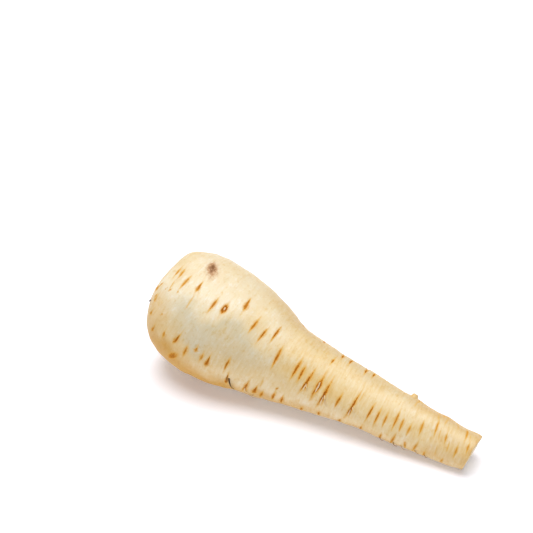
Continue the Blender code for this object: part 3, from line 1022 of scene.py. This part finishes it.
@dataclass(frozen=True)
class StalkFinish:
    """Cut leaf stalks: fibrous, green at the sides, dried tan on top."""

    green: Colour = (0.62, 0.57, 0.13)
    dried: Colour = (0.72, 0.48, 0.20)
    pale: Colour = (0.86, 0.68, 0.40)
    dark: Colour = (0.34, 0.19, 0.07)
    fibre_stretch: Direction = (0.25, 1.0, 1.0)
    fibre_noise: Settings = (1500, 3, 0.6)
    cloud_noise: Settings = (260, 3)
    patch_noise: Settings = (420, 2)
    green_rise: Span = (0.35, 0.65)
    dried_rise: Span = (0.55, 1.0)
    pale_rise: Span = (0.6, 1.0)
    pale_clouds: Span = (0.5, 0.68)
    patch_rise: Settings = (0.50, 0.62, 0.75)
    pale_fibres: Settings = (0.55, 0.75, 0.6)
    dark_fibres: Settings = (0.45, 0.28, 0.8)
    fibre_bump: Span = (0.6, 0.4 * MM)

    def material(self) -> bpy.types.Material:
        """Makes the finish's material.

        Returns:
            The material.
        """
        n = Nodes("leaf_stalk")
        place, top = n.place(), n.mark(Mark.TOP)
        fibres = n.noise(n.place(self.fibre_stretch), *self.fibre_noise)
        cloud = n.noise(place, *self.cloud_noise)
        colour = n.mix(n.rise(cloud, *self.green_rise), self.dark, self.green)
        layers = (
            (n.rise(top, *self.dried_rise), self.dried),
            (n.times(n.rise(top, *self.pale_rise), n.rise(cloud, *self.pale_clouds)), self.pale),
            (n.rise(n.noise(place, *self.patch_noise), *self.patch_rise), self.green),
            (n.rise(fibres, *self.pale_fibres), self.pale),
            (n.rise(fibres, *self.dark_fibres), self.dark),
        )
        for share, tint in layers:
            colour = n.mix(share, colour, tint)
        normal = n.bump(fibres, *self.fibre_bump)
        return n.dress(Base_Color=colour, Roughness=0.7, Normal=normal, Specular_IOR_Level=0.3)


@dataclass(frozen=True)
class RootletFinish:
    """Hair-fine side roots, from straw to nearly black."""

    straw: Colour = (0.74, 0.57, 0.33)
    brown: Colour = (0.42, 0.22, 0.06)
    black: Colour = (0.075, 0.038, 0.014)
    cloud_noise: Settings = (500, 2)
    cloud_rise: Settings = (0.45, 0.75, 0.6)
    brown_rise: Span = (0.1, 0.6)
    black_rise: Span = (0.6, 1.0)
    bump: Span = (0.3, 0.2 * MM)

    def material(self) -> bpy.types.Material:
        """Makes the finish's material.

        Returns:
            The material.
        """
        n = Nodes("rootlet")
        cloud, age = n.noise(n.place(), *self.cloud_noise), n.mark(Mark.AGE)
        colour = n.mix(n.rise(cloud, *self.cloud_rise), self.straw, self.brown)
        colour = n.mix(n.rise(age, *self.brown_rise), colour, self.brown)
        colour = n.mix(n.rise(age, *self.black_rise), colour, self.black)
        normal = n.bump(cloud, *self.bump)
        return n.dress(Base_Color=colour, Roughness=0.75, Normal=normal, Specular_IOR_Level=0.15)


@dataclass(frozen=True)
class Surface:
    """The root's finished skin, to stand things on."""

    distances: Array
    points: Array

    def at(self, distance: float, turn: float) -> tuple[Vector, Vector]:
        """Finds the skin's point at a distance and a turn.

        Args:
            distance: The distance.
            turn: The turn.

        Returns:
            The point, and the way out from the skin there.
        """
        row = float(np.interp(distance, self.distances, np.arange(len(self.distances))))
        row = min(max(row, 1.0), len(self.distances) - 3 + NEARLY)
        count = self.points.shape[1]
        column = turn / 360 * count
        low, left = int(row), math.floor(column)
        square = self.points[low:low + 2][:, [left % count, (left + 1) % count]]
        upper, lower = square[0] + (square[1] - square[0]) * (row - low)
        ahead = Vector(square[1, 0] - square[0, 0])
        aside = Vector(square[0, 1] - square[0, 0])
        return Vector(upper + (lower - upper) * (column - left)), aside.cross(ahead).normalized()


@dataclass(frozen=True)
class Wrinkles:
    """Fine wrinkles along the growth rings, in patches, deeper towards the tail."""

    height: float = 0.07 * MM
    spacing: float = 2.3 * MM
    wander: float = 9.0
    wander_size: float = 7 * MM
    patch_size: float = 19 * MM
    patch_start: float = 0.45
    patch_slope: float = 1.4
    deepens: Span = (60 * MM, 120 * MM)
    least: float = 0.6

    def relief(self, rows: Rows, points: Array, rings: Array) -> Array:
        """The wrinkles' height.

        Args:
            rows: The skin's rows.
            points: The skin's points.
            rings: Which growth ring runs through each of them.

        Returns:
            The height at each point.
        """
        wave = 2 * math.pi * rings / self.spacing + self.wander * cloud_noise(points, self.wander_size)
        shows = np.clip(self.patch_start + self.patch_slope * cloud_noise(points, self.patch_size), 0, 1)
        shows *= self.least + (1 - self.least) * smooth_step(*self.deepens, rows.length)[:, None]
        return self.height * np.sin(wave) * shows


@dataclass(frozen=True)
class Taproot:
    """The root: a round outline swept along a bent line, with relief, a sunken crown and a cut tail.

    The tables: taper (distance, radius), bend (distance, how far aside), crown (depth, radius), cut face
    (share of the radius, height), furrows (turn at the rim, turn at the tail), swells (height, lobes, twist
    per metre, first turn), lumps (length along the outline, turn, height, half width), creases (height,
    spacing), stubs (distance, turn, height, foot's radius), ring lean turns (distance, turn) and rays (fewest
    and most round the cut, how many are drawn).
    """

    length: float = 212 * MM
    head_radius: float = 36.5 * MM
    widest_at: float = 36 * MM
    rim_radius: float = 15 * MM
    squareness: float = 2.9
    taper: Curve = (
        (36, 36.5), (54, 34.0), (72, 29.0), (90, 23.8), (110, 20.6), (138, 17.3), (170, 14.6), (212, 11.8)
    )
    bend: Curve = ((0, 10.0), (20, 7.2), (45, 4.2), (63, 2.8), (80, 0.7), (100, 0.0), (150, 0.2), (212, 0.0))
    bend_turn: float = -46.0
    crown: Curve = ((5.6, 6.0), (5.4, 12.0), (3.6, 13.2), (1.4, 13.7), (0.3, 14.2), (0.0, 15.0))
    cut_slope: float = 0.17
    cut_slope_across: float = 0.23
    cut_foot: float = 0.13
    cut_foot_turn: float = 130.0
    cut_fade: float = 40 * MM
    cut_face: Curve = ((0.0, 0.60), (0.49, 0.60), (0.55, 0.25), (0.95, 0.25), (1.0, 0.0))
    furrows: Curve = ((18, 52), (84, 128), (-52, -24), (-140, -122))
    furrow_depth: float = 0.7 * MM
    furrow_half_turn: float = 24.0
    furrow_begins: Span = (40 * MM, 110 * MM)
    swells: Table = ((0.5, 2, 1780, 90), (0.3, 3, -3270, 147))
    lumps: Table = (
        (14, -14, 2.0, 10), (40, 128, 1.8, 18), (46, -45, -0.7, 14), (204, -50, 0.4, 6),
        (186, -46, 0.6, 4.5), (196, -42, -0.45, 5), (227, 132, -1.6, 3.2), (215, -48, -0.7, 5),
    )
    belly_turn: float = 134.0
    belly_half_turn: float = 30.0
    belly_height: float = 1.6 * MM
    belly_begins: Span = (138 * MM, 166 * MM)
    creases: Curve = ((0.06, 9.3), (0.05, 14.7))
    crease_wander: float = 0.8
    crease_wander_turn: float = 20.0
    relief_begins: float = 8 * MM
    stubs: Table = ((167.3, -46, 2.0, 2.5), (128, -117, 1.8, 3.4), (96, -150, 1.6, 3.6))
    stub_slope: float = 0.5
    ring_lean: float = 0.22
    ring_lean_turns: Curve = ((0, 25), (100, 25), (140, 42), (165, 57), (182, 75), (212, 108))
    lump_height: float = 0.30 * MM
    lump_size: float = 16 * MM
    lump_octaves: int = 3
    around: int = 160
    crown_rows: int = 16
    skin_rows: int = 570
    cut_rows: int = 14
    shoulder_steps: int = 400
    body_steps: int = 2000
    # How strongly painted shade darkens the crown's hollow, from its floor to just inside the rim.
    smallest_cut_share: float = 0.05
    recess_shade: Span = (1.0, 0.3)
    rays: tuple[int, int, int] = (9, 70, 9)
    ray_share: float = 3.0
    ray_seed: int = 160
    steepest_lean: float = 20.0
    lean_halvings: int = 40

    def outline(self) -> Rows:
        """The skin's rows, evenly spaced from rim to cut.

        Returns:
            The rows.
        """
        angle = np.linspace(0, math.pi / 2, self.shoulder_steps)
        power = 2 / self.squareness
        shoulder = self.widest_at * (1 - np.cos(angle) ** power)
        up = self.rim_radius + (self.head_radius - self.rim_radius) * np.sin(angle) ** power
        body = np.linspace(self.widest_at, self.length, self.body_steps)[1:]
        distance = np.concatenate([shoulder, body])
        radius = np.concatenate([up, smooth_curve(self.taper, body) * MM])
        length = run_length(distance, radius)
        even = np.linspace(0, length[-1], self.skin_rows)
        return Rows(np.interp(even, length, distance), np.interp(even, length, radius), even, self.turns())

    def turns(self) -> Array:
        """The turn of each point of a row."""
        return np.arange(self.around) * 360 / self.around

    def middle(self, distance: float) -> tuple[Array, Array]:
        """The root's middle at a distance.

        Args:
            distance: The distance.

        Returns:
            The point, and the direction in which the root runs there.
        """
        side = outward(np.array(self.bend_turn))
        before, here, after = (float(smooth_curve(self.bend, distance + step)) * MM for step in (-MM, 0, MM))
        along = np.array((1.0, 0.0, 0.0)) + (after - before) / (2 * MM) * side
        return np.array((distance, 0.0, 0.0)) + here * side, along / np.linalg.norm(along)

    def ring(self, distance: float, radius: float, turn: Array, depth: float = 0.0) -> Array:
        """Points round the root.

        Args:
            distance: Where the ring is.
            radius: Its radius.
            turn: The turn of each point.
            depth: How far the ring is then moved along the root.

        Returns:
            The points, as rows.
        """
        middle, along = self.middle(distance)
        spokes = outward(turn)
        spokes -= np.outer(spokes @ along, along)
        spokes /= np.linalg.norm(spokes, axis=1)[:, None]
        spokes *= radius
        askew = smooth_step(self.length - self.cut_fade, self.length, distance)
        slant = self.cut_slope * (spokes @ outward(np.array(self.bend_turn)))
        slant += self.cut_slope_across * (spokes @ outward(np.array(self.bend_turn + 90)))
        slant += self.cut_foot * np.clip(spokes @ outward(np.array(self.cut_foot_turn)), 0, None)
        return middle + spokes + along * depth + np.outer(askew * slant, (1.0, 0.0, 0.0))

    def slow_relief(self, rows: Rows) -> Array:
        """Height of the swells, furrows, belly, lumps and creases over the plain outline.

        Args:
            rows: The skin's rows.

        Returns:
            The height of each point.
        """
        d, turn = rows.distance[:, None], rows.turn
        out = np.zeros((len(d), len(turn)))
        for height, lobes, twist, first in self.swells:
            out += height * MM * np.cos(np.radians(lobes * turn + twist * d - first))
        sunk = smooth_step(*self.furrow_begins, d)
        for rim_turn, tail_turn in self.furrows:
            away = turn_gap(turn, rim_turn + (tail_turn - rim_turn) * d / self.length)
            out -= self.furrow_depth * sunk * bell(away / self.furrow_half_turn)
        belly = bell(turn_gap(turn, self.belly_turn) / self.belly_half_turn)
        out += self.belly_height * smooth_step(*self.belly_begins, d) * belly
        for at, lump_turn, height, half_width in self.lumps:
            away = np.hypot(rows.length[:, None] - at * MM, rows.around(lump_turn))
            out += height * MM * bell(away / (half_width * MM))
        rings = self.ring_place(rows)
        wander = self.crease_wander * np.sin(np.radians(2 * (turn + self.crease_wander_turn)))
        for height, spacing in self.creases:
            out += height * MM * np.sin(2 * math.pi * rings / (spacing * MM) + wander)
        return out

    def ring_place(self, rows: Rows) -> Array:
        """Which growth ring runs through each point, as a length along the outline: the rings lie askew."""
        askew = np.cos(np.radians(rows.turn - smooth_curve(self.ring_lean_turns, rows.distance)[:, None]))
        return rows.length[:, None] - self.ring_lean * rows.radius[:, None] * askew

    def stub_relief(self, rows: Rows) -> Array:
        """Height of the snapped side roots: flat-topped, steep-sided.

        Args:
            rows: The skin's rows.

        Returns:
            The height of each point.
        """
        out = np.zeros((len(rows.distance), len(rows.turn)))
        for at, turn, height, foot in self.stubs:
            away = np.hypot(rows.distance[:, None] - at * MM, rows.around(turn)) / (foot * MM)
            out += height * MM * smooth_step(0, self.stub_slope, 1 - away)
        return out

    def scar_fields(self, rows: Rows) -> tuple[Array, dict[Mark, Array]]:
        """What the scars do at each point of the skin.

        Args:
            rows: The skin's rows.

        Returns:
            Their height, and an array for each of the marks RING, SLIT, DARK, STREAK and STUB.
        """
        rings = self.ring_place(rows)
        relief = ScarRelief()
        raised, dark, streaks, stubs = (np.zeros(rings.shape) for _ in range(4))
        slits = np.full(rings.shape, NO_SLIT)
        for scar in ScarPattern().scars(self.length):
            own = rows.at(scar.distance, scar.turn)
            near = np.abs(rows.length - own.length) < relief.reach
            arc = rows.around(scar.turn)[near]
            across = rings[near] - self.ring_place(own) - scar.tilt * arc
            slit, streak, stub, height = relief.marks(scar, arc, across)
            strength = relief.strength(scar)
            raised[near] += height * (1 + strength) / 2
            dark[near] = np.where(slit > slits[near], strength, dark[near])
            for whole, part in ((slits, slit), (streaks, streak), (stubs, stub)):
                whole[near] = np.maximum(whole[near], part)
        marks = {Mark.RING: rings, Mark.SLIT: slits, Mark.DARK: dark, Mark.STREAK: streaks, Mark.STUB: stubs}
        return raised, marks

    def skin(self, rows: Rows) -> tuple[Array, dict[Mark, Array]]:
        """The skin's points and the values that they hold, a row for each ring from rim to cut.

        Args:
            rows: The skin's rows.

        Returns:
            The points, and an array for each mark.
        """
        plain = np.array([self.ring(d, r, rows.turn) for d, r in zip(rows.distance, rows.radius)])
        along = np.gradient(plain, axis=0)
        around = np.roll(plain, -1, axis=1) - np.roll(plain, 1, axis=1)
        normal = np.cross(around, along)
        normal /= np.linalg.norm(normal, axis=2)[..., None]
        scars, marks = self.scar_fields(rows)
        height = self.slow_relief(rows) + scars
        height += self.lump_height * cloud_noise(plain, self.lump_size, self.lump_octaves)
        height += Wrinkles().relief(rows, plain, marks[Mark.RING])
        height *= smooth_step(0, self.relief_begins, rows.length)[:, None]
        height += self.stub_relief(rows)
        return plain + normal * height[..., None], marks | SkinZones().marks(rows, plain)

    def crown_rings(self) -> Array:
        """The rows of the sunken crown, from its floor to just inside the rim.

        Returns:
            The rows.
        """
        depth, radius = np.array(self.crown).T * MM
        along = run_length(depth, radius)
        at = np.linspace(0, along[-1], self.crown_rows + 1)[:-1]
        depths, radii = np.interp(at, along, depth), smooth_line(along, radius, at)
        return np.array([self.ring(0.0, r, self.turns(), d) for d, r in zip(depths, radii)])

    def cut_rings(self, edge: Array) -> tuple[Array, Array]:
        """The rows of the cut face.

        Args:
            edge: The skin's last ring.

        Returns:
            The rows, inwards from that ring, and each one's share of its radius.
        """
        _, along = self.middle(self.length)
        middle = edge.mean(axis=0)
        shares = np.linspace(1, self.smallest_cut_share, self.cut_rows + 1)[1:]
        heights = np.interp(shares, *np.array(self.cut_face).T) * MM
        rings = [middle + (edge - middle) * share + along * height for share, height in zip(shares, heights)]
        return np.array(rings), shares

    def lean(self, points: Array) -> float:
        """The lean, in radians, at which the head and the tail are equally low.

        Args:
            points: The root's points.

        Returns:
            The lean.
        """
        head = points[points[:, 0] < self.length / 2]
        tail = points[points[:, 0] >= self.length / 2]
        low, high = 0.0, math.radians(self.steepest_lean)
        for _ in range(self.lean_halvings):
            lean = (low + high) / 2
            up = np.array((-math.sin(lean), 0.0, math.cos(lean)))
            if (head @ up).min() < (tail @ up).min():
                low = lean
            else:
                high = lean
        return lean

    def resting_place(self, points: Array) -> Matrix:
        """The matrix that lays the root in the solid root's place.

        Args:
            points: The root's points.

        Returns:
            The matrix.
        """
        turned = Matrix.Rotation(self.lean(points), 4, "Y")
        leaned = points @ np.array(turned.to_3x3()).T
        low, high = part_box("root")
        centre = (leaned.min(axis=0) + leaned.max(axis=0)) / 2
        goal = (low + high) / 2
        shift = (goal.x - centre[0], goal.y - centre[1], high.z - leaned[:, 2].max())
        return Matrix.Translation(shift) @ turned

    def ray_values(self) -> Array:
        """How strongly a ray shows in the cut face.

        Returns:
            A value for each turn.
        """
        fewest, most, drawn = self.rays
        draw = random.Random(self.ray_seed)
        waves = [(draw.randint(fewest, most), draw.uniform(0, 2 * math.pi)) for _ in range(drawn)]
        rays = sum(np.sin(count * np.radians(self.turns()) + first) for count, first in waves)
        return rays / self.ray_share

    def build(self) -> tuple[Piece, Matrix, Surface]:
        """The root in place of its solid.

        Returns:
            The root, the matrix that laid it there and its skin as a surface.
        """
        rows = self.outline()
        skin, marks = self.skin(rows)
        crown = self.crown_rings()
        cut, shares = self.cut_rings(skin[-1])
        rings = np.concatenate([crown, skin, cut])
        place = self.resting_place(rings.reshape(-1, 3))
        placed = rings @ np.array(place.to_3x3()).T + np.array(place.translation)
        placed[..., 2] = np.maximum(placed[..., 2], 0.0)
        piece, row, column = wrap_grid(placed)
        for mark, values in marks.items():
            outside = NO_SLIT if mark is Mark.SLIT else 0.0
            whole = np.pad(values, ((len(crown), len(cut)), (0, 0)), constant_values=outside)
            write_marks(piece.data, mark, whole[row, column])
        # Painted shade in the crown's hollow, strongest at its floor.
        painted_recess_shade, share = np.zeros(len(rings)), np.ones(len(rings))
        painted_recess_shade[:len(crown)] = np.linspace(*self.recess_shade, len(crown))
        share[-len(cut):] = shares
        write_marks(piece.data, Mark.PAINTED_RECESS_SHADE, painted_recess_shade[row])
        write_marks(piece.data, Mark.CORE, share[row])
        write_marks(piece.data, Mark.CUT, (row >= len(rings) - len(cut) - 1).astype(float))
        write_marks(piece.data, Mark.RAY, self.ray_values()[column])
        close_grid(piece)
        piece.name = piece.data.name = "parsnip_root"
        return piece, place, Surface(rows.distance, placed[len(crown):-len(cut)])

    def dress(self, piece: Piece) -> None:
        """Gives the skin and the cut face their finishes.

        Args:
            piece: The root.
        """
        mesh = piece.data
        mesh.materials.append(SkinFinish().material())
        mesh.materials.append(CutFinish().material())
        cut = np.empty(len(mesh.vertices), np.float32)
        mesh.attributes[Mark.CUT.value].data.foreach_get("value", cut)
        for face in mesh.polygons:
            face.material_index = int(all(cut[i] > 0.5 for i in face.vertices))
        mesh.shade_smooth()


@dataclass(frozen=True)
class LeafStalks:
    """The cut leaf stalks that fill the crown: rings of curved bases on a floor.

    A ring is (how many bases, its radius, their thickness, the share of it that each spans, their height).
    Wander turns are (how fast a base wavers round the crown, how far its own turn moves the waves).
    """

    floor_depth: float = 5.4 * MM
    floor_radius: float = 12.0 * MM
    gap: float = 0.35 * MM
    floor_thickness: float = 2.4 * MM
    floor_flare: float = 0.9 * MM
    floor_sides: int = 64
    rings: Table = (
        (6, 10.7, 2.9, 0.165, 2.5), (5, 7.8, 3.0, 0.195, 3.0), (4, 5.0, 2.8, 0.240, 3.6),
        (3, 2.2, 2.4, 0.320, 4.3),
    )
    ring_offset: float = 0.31
    turn_spread: float = 0.20
    radius_spread: float = 0.35 * MM
    thickness_spread: float = 0.25
    height_spread: float = 0.55 * MM
    sunk: float = 1.2 * MM
    end_share: float = 0.45
    top_share: float = 0.9
    top_rounding: float = 0.12
    rounding_power: int = 6
    top_slant: float = 0.45 * MM
    rim_rise: float = 0.3 * MM
    wander: float = 0.55 * MM
    wander_turns: Span = (2.3, 40.0)
    flare: float = 0.1
    rib_height: float = 0.10 * MM
    ribs: int = 9
    lump_height: float = 0.5 * MM
    lump_size: float = 2.2 * MM
    cuts: int = 11
    seed: int = 5

    def base(self, radius: float, thickness: float, turn: float, span: float, height: float,
             slant: float) -> Piece:
        """One curved stalk base, its floor at z = 0 and its crown up: a cube cut finely, then bent.

        Args:
            radius: The middle radius of the ring it stands in.
            thickness: Its thickness in the middle.
            turn: Where its middle is, in radians.
            span: The angle it spans.
            height: Its height.
            slant: How much higher one end of its top is than its middle.

        Returns:
            The base.
        """
        deselect_all()
        bpy.ops.mesh.primitive_cube_add(size=2)
        piece = bpy.context.object
        bpy.ops.object.mode_set(mode="EDIT")
        bpy.ops.mesh.subdivide(number_cuts=self.cuts)
        bpy.ops.object.mode_set(mode="OBJECT")
        cube = points_of(piece.data)
        across, side, up = cube[:, 0] / 2 + 0.5, cube[:, 1], cube[:, 2] / 2 + 0.5
        angle = turn + (across - 0.5) * span
        half = thickness / 2 * (self.end_share + (1 - self.end_share) * np.sin(math.pi * across))
        half = half * (1 + (self.top_share - 1) * up) * (1 - self.top_rounding * up**self.rounding_power)
        rib = self.rib_height * np.cos(across * math.pi * 2 * self.ribs) * np.abs(side)
        bent = self.wander * np.sin(self.wander_turns[0] * angle + self.wander_turns[1] * turn)
        out = radius + bent + side * (half + rib) + self.flare * up * (height - self.sunk)
        top = height + slant * (across * 2 - 1) + self.rim_rise * side**2 * up
        z = -self.sunk + (top + self.sunk) * up
        points = np.stack([out * np.cos(angle), out * np.sin(angle), z], axis=1)
        points[:, 2] += self.lump_height * cloud_noise(points, self.lump_size) * up
        move_points(piece.data, points)
        write_marks(piece.data, Mark.TOP, up)
        return piece

    def bases(self) -> list[Piece]:
        """Every stalk base, in rings.

        Returns:
            The bases.
        """
        draw = random.Random(self.seed)
        made = []
        for row, (count, radius, thickness, share, height) in enumerate(self.rings):
            for index in range(count):
                turn = 2 * math.pi * (index / count + self.ring_offset * row)
                turn += draw.uniform(-self.turn_spread, self.turn_spread)
                out = radius * MM + draw.uniform(-self.radius_spread, self.radius_spread)
                thick = thickness * MM * (1 + draw.uniform(-self.thickness_spread, self.thickness_spread))
                tall = height * MM + draw.uniform(-self.height_spread, self.height_spread)
                slant = draw.uniform(-self.top_slant, self.top_slant)
                made.append(self.base(out, thick, turn, 2 * math.pi * share, tall, slant))
        return made

    def floor(self) -> Piece:
        """The floor that the bases grow from.

        Returns:
            The floor.
        """
        radius = self.floor_radius - self.gap
        deselect_all()
        bpy.ops.mesh.primitive_cone_add(
            vertices=self.floor_sides,
            radius1=radius,
            radius2=radius + self.floor_flare,
            depth=self.floor_thickness,
            location=(0, 0, -self.floor_thickness / 2),
        )
        piece = bpy.context.object
        bpy.ops.object.transform_apply(location=True)
        write_marks(piece.data, Mark.TOP, np.zeros(len(piece.data.vertices)))
        return piece

    def build(self, root: Taproot, place: Matrix) -> Piece:
        """The stalks in the root's crown.

        Args:
            root: The root that they stand in.
            place: The matrix that laid the root down.

        Returns:
            The stalks, as one piece.
        """
        piece = join([self.floor(), *self.bases()], "leaf_stalks")
        middle, along = root.middle(0.0)
        across = np.cross(-along, (0.0, 1.0, 0.0))
        across /= np.linalg.norm(across)
        axes = Matrix(np.array((across, np.cross(-along, across), -along)).T.tolist()).to_4x4()
        top = middle + along * (self.floor_depth - self.gap - self.floor_thickness)
        piece.data.transform(place @ Matrix.Translation(top) @ axes)
        piece.matrix_world = Matrix.Identity(4)
        piece.data.materials.append(StalkFinish().material())
        piece.data.shade_smooth()
        return piece


@dataclass(frozen=True)
class Rootlets:
    """The fine side roots that the wash left: in the forked scars and along the root's underside.

    A row is (distance and turn of the foot, distance and turn of the tip, radius, rise, age from 0 to 1).
    """

    rows: Table = (
        (122.4, 68, 125.2, 86, 0.42, 0.5, 0), (110.2, 63, 111.6, 71, 0.36, 0.5, 0),
        (140.3, 68, 142.2, 79, 0.34, 0.5, 0.1), (117, 50, 117.2, 60, 0.42, 0.3, 0.1),
        (67.4, 103, 70.4, 123, 0.5, 1.2, 1), (66.2, 102, 66.6, 110, 0.4, 0.6, 0.6),
        (76.5, 118, 83, 137, 0.2, 1, 0.1), (81, 119, 79, 139, 0.22, 0.8, 0.3),
        (85, 121, 91, 133, 0.18, 0.7, 0.1), (168.5, 116, 170.5, 136, 0.3, 1, 0.7),
        (173, 121, 178, 133, 0.22, 1.2, 0.3), (160, 120, 162, 131, 0.26, 0.9, 0.7),
        (182, 116, 185, 127, 0.24, 0.8, 0.4), (188, 120, 190, 131, 0.24, 0.9, 0.5),
        (3.2, 67, 2.4, 72, 0.4, 0.8, 0.9), (12, -84, 16, -98, 0.22, 0.8, 0.2),
        (88, -72, 92, -90, 0.24, 1, 0.2), (118, -124, 121, -142, 0.26, 1.1, 0.4),
        (150, -66, 153, -84, 0.22, 1, 0.2), (178, -128, 182, -146, 0.24, 1, 0.5),
    )
    joints: int = 12
    sides: int = 6
    tip_share: float = 0.3
    sunk: float = 0.25 * MM
    curl: float = 0.5 * MM
    bends: int = 3
    rise_power: float = 0.8
    seed: int = 8

    def path(self, surface: Surface, row: Row, draw: random.Random) -> list[Vector]:
        """The bent line of one rootlet.

        Args:
            surface: The skin that it grows from.
            row: Its row of the table.
            draw: Where its bends are drawn from.

        Returns:
            Its joints.
        """
        begin, begin_turn, end, end_turn, radius, rise, _ = row
        bends = [draw.uniform(-1, 1) * self.curl for _ in range(self.bends)]
        found = []
        for share in np.linspace(0, 1, self.joints):
            turn = begin_turn + (end_turn - begin_turn) * share
            point, out = surface.at((begin + (end - begin) * share) * MM, turn)
            height = rise * MM * math.sin(math.pi * share**self.rise_power)
            height += share * radius * MM - self.sunk * (1 - share)
            waves = (bend * math.sin(math.pi * k * share) / k for k, bend in enumerate(bends, 1))
            found.append(point + out * height + Vector((sum(waves), 0.0, 0.0)))
        return found

    def tube(self, path: list[Vector], radius: float, age: float) -> Piece:
        """A tube that narrows along a line.

        Args:
            path: The line.
            radius: The tube's radius at the line's start.
            age: How dark it is, from 0 to 1.

        Returns:
            The tube.
        """
        rings = []
        for index, point in enumerate(path):
            ahead = (path[min(index + 1, len(path) - 1)] - path[max(index - 1, 0)]).normalized()
            first = ahead.orthogonal() if index == 0 else first - ahead * first.dot(ahead)
            first.normalize()
            second = ahead.cross(first)
            wide = radius * (1 - (1 - self.tip_share) * index / (len(path) - 1))
            turns = [2 * math.pi * side / self.sides for side in range(self.sides)]
            rings.append([point + (first * math.cos(a) + second * math.sin(a)) * wide for a in turns])
        points = np.array(rings)
        points[..., 2] = np.maximum(points[..., 2], 0.0)
        piece, _, _ = wrap_grid(points)
        write_marks(piece.data, Mark.AGE, np.full(len(piece.data.vertices), age))
        close_grid(piece)
        return piece

    def build(self, surface: Surface) -> Piece:
        """Every rootlet, as one piece.

        Args:
            surface: The skin that they grow from.

        Returns:
            The piece.
        """
        draw = random.Random(self.seed)
        made = [self.tube(self.path(surface, row, draw), row[4] * MM, row[6]) for row in self.rows]
        piece = join(made, "rootlets")
        piece.data.materials.append(RootletFinish().material())
        piece.data.shade_smooth()
        return piece


@dataclass(frozen=True)
class Studio:
    """A plain white floor, soft light and the camera."""

    turn: float = 28.56
    height: float = 40.0
    distance: float = 1.3
    focal_length: float = 144.85
    aim_left: float = 32.0 * MM
    aim_up: float = 83.0 * MM
    floor_size: float = 12.0
    floor_colour: Colour = (0.90, 0.90, 0.96)
    glow_colour: Colour = (0.92, 0.91, 1.0)
    floor_glow: float = 0.2
    floor_roughness: float = 0.9
    world_strength: float = 0.37
    sun_strength: float = 2.75
    sun_spread: float = 45.0
    sun_from: Direction = (-0.05, -0.01, 1.0)

    def camera(self) -> None:
        """The camera: it looks down on the root from the tail's side."""
        a, e = math.radians(self.turn), math.radians(self.height)
        back = Vector((math.sin(a) * math.cos(e), -math.cos(a) * math.cos(e), math.sin(e)))
        right = Vector((math.cos(a), math.sin(a), 0.0))
        aim = right * -self.aim_left + back.cross(right) * self.aim_up
        data = bpy.data.cameras.new("camera")
        data.lens = self.focal_length
        camera = bpy.data.objects.new("camera", data)
        bpy.context.scene.collection.objects.link(camera)
        camera.location = back * self.distance
        camera.rotation_mode = "QUATERNION"
        camera.rotation_quaternion = (aim - camera.location).to_track_quat("-Z", "Y")
        bpy.context.scene.camera = camera

    def floor(self) -> Piece:
        """The floor, level with the surface that the root lies on.

        Returns:
            The floor.
        """
        deselect_all()
        bpy.ops.mesh.primitive_plane_add(size=self.floor_size)
        floor = bpy.context.object
        floor.name = "floor"
        n = Nodes("floor")
        glow = {"Emission_Color": self.glow_colour, "Emission_Strength": self.floor_glow}
        finish = n.dress(Base_Color=self.floor_colour, Roughness=self.floor_roughness, **glow)
        floor.data.materials.append(finish)
        return floor

    def lights(self) -> None:
        """White surroundings and one soft sun."""
        world = bpy.data.worlds.new("studio")
        world.use_nodes = True
        inputs = world.node_tree.nodes["Background"].inputs
        inputs["Color"].default_value = (1, 1, 1, 1)
        inputs["Strength"].default_value = self.world_strength
        bpy.context.scene.world = world
        data = bpy.data.lights.new("sun", "SUN")
        data.energy = self.sun_strength
        data.angle = math.radians(self.sun_spread)
        sun = bpy.data.objects.new("sun", data)
        bpy.context.scene.collection.objects.link(sun)
        sun.rotation_mode = "QUATERNION"
        sun.rotation_quaternion = Vector(self.sun_from).to_track_quat("Z", "Y")

    def build(self) -> None:
        """Sets up the whole studio."""
        self.camera()
        self.floor()
        self.lights()
        bpy.context.scene.view_settings.view_transform = "Standard"


def carry(piece: Piece, node: str | None = None) -> None:
    """Lets a piece ride on the root's body and hides the solid that it stands for, if any.

    Args:
        piece: The piece.
        node: The solid that the piece stands for, if it stands for one.
    """
    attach(piece, BODY)
    if node is not None:
        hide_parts(node)
    logging.info("%s: %d faces", piece.name, len(piece.data.polygons))


def main() -> None:
    """Builds the studio, the root, its rootlets and the leaf stalks."""
    logging.basicConfig(level=logging.INFO, format="%(message)s")
    Studio().build()
    taproot = Taproot()
    root, place, surface = taproot.build()
    taproot.dress(root)
    carry(root, "root")
    carry(Rootlets().build(surface))
    stalks = LeafStalks().build(taproot, place)
    carry(stalks, "leaf_stalk_bases")


if __name__ == "__main__":
    main()
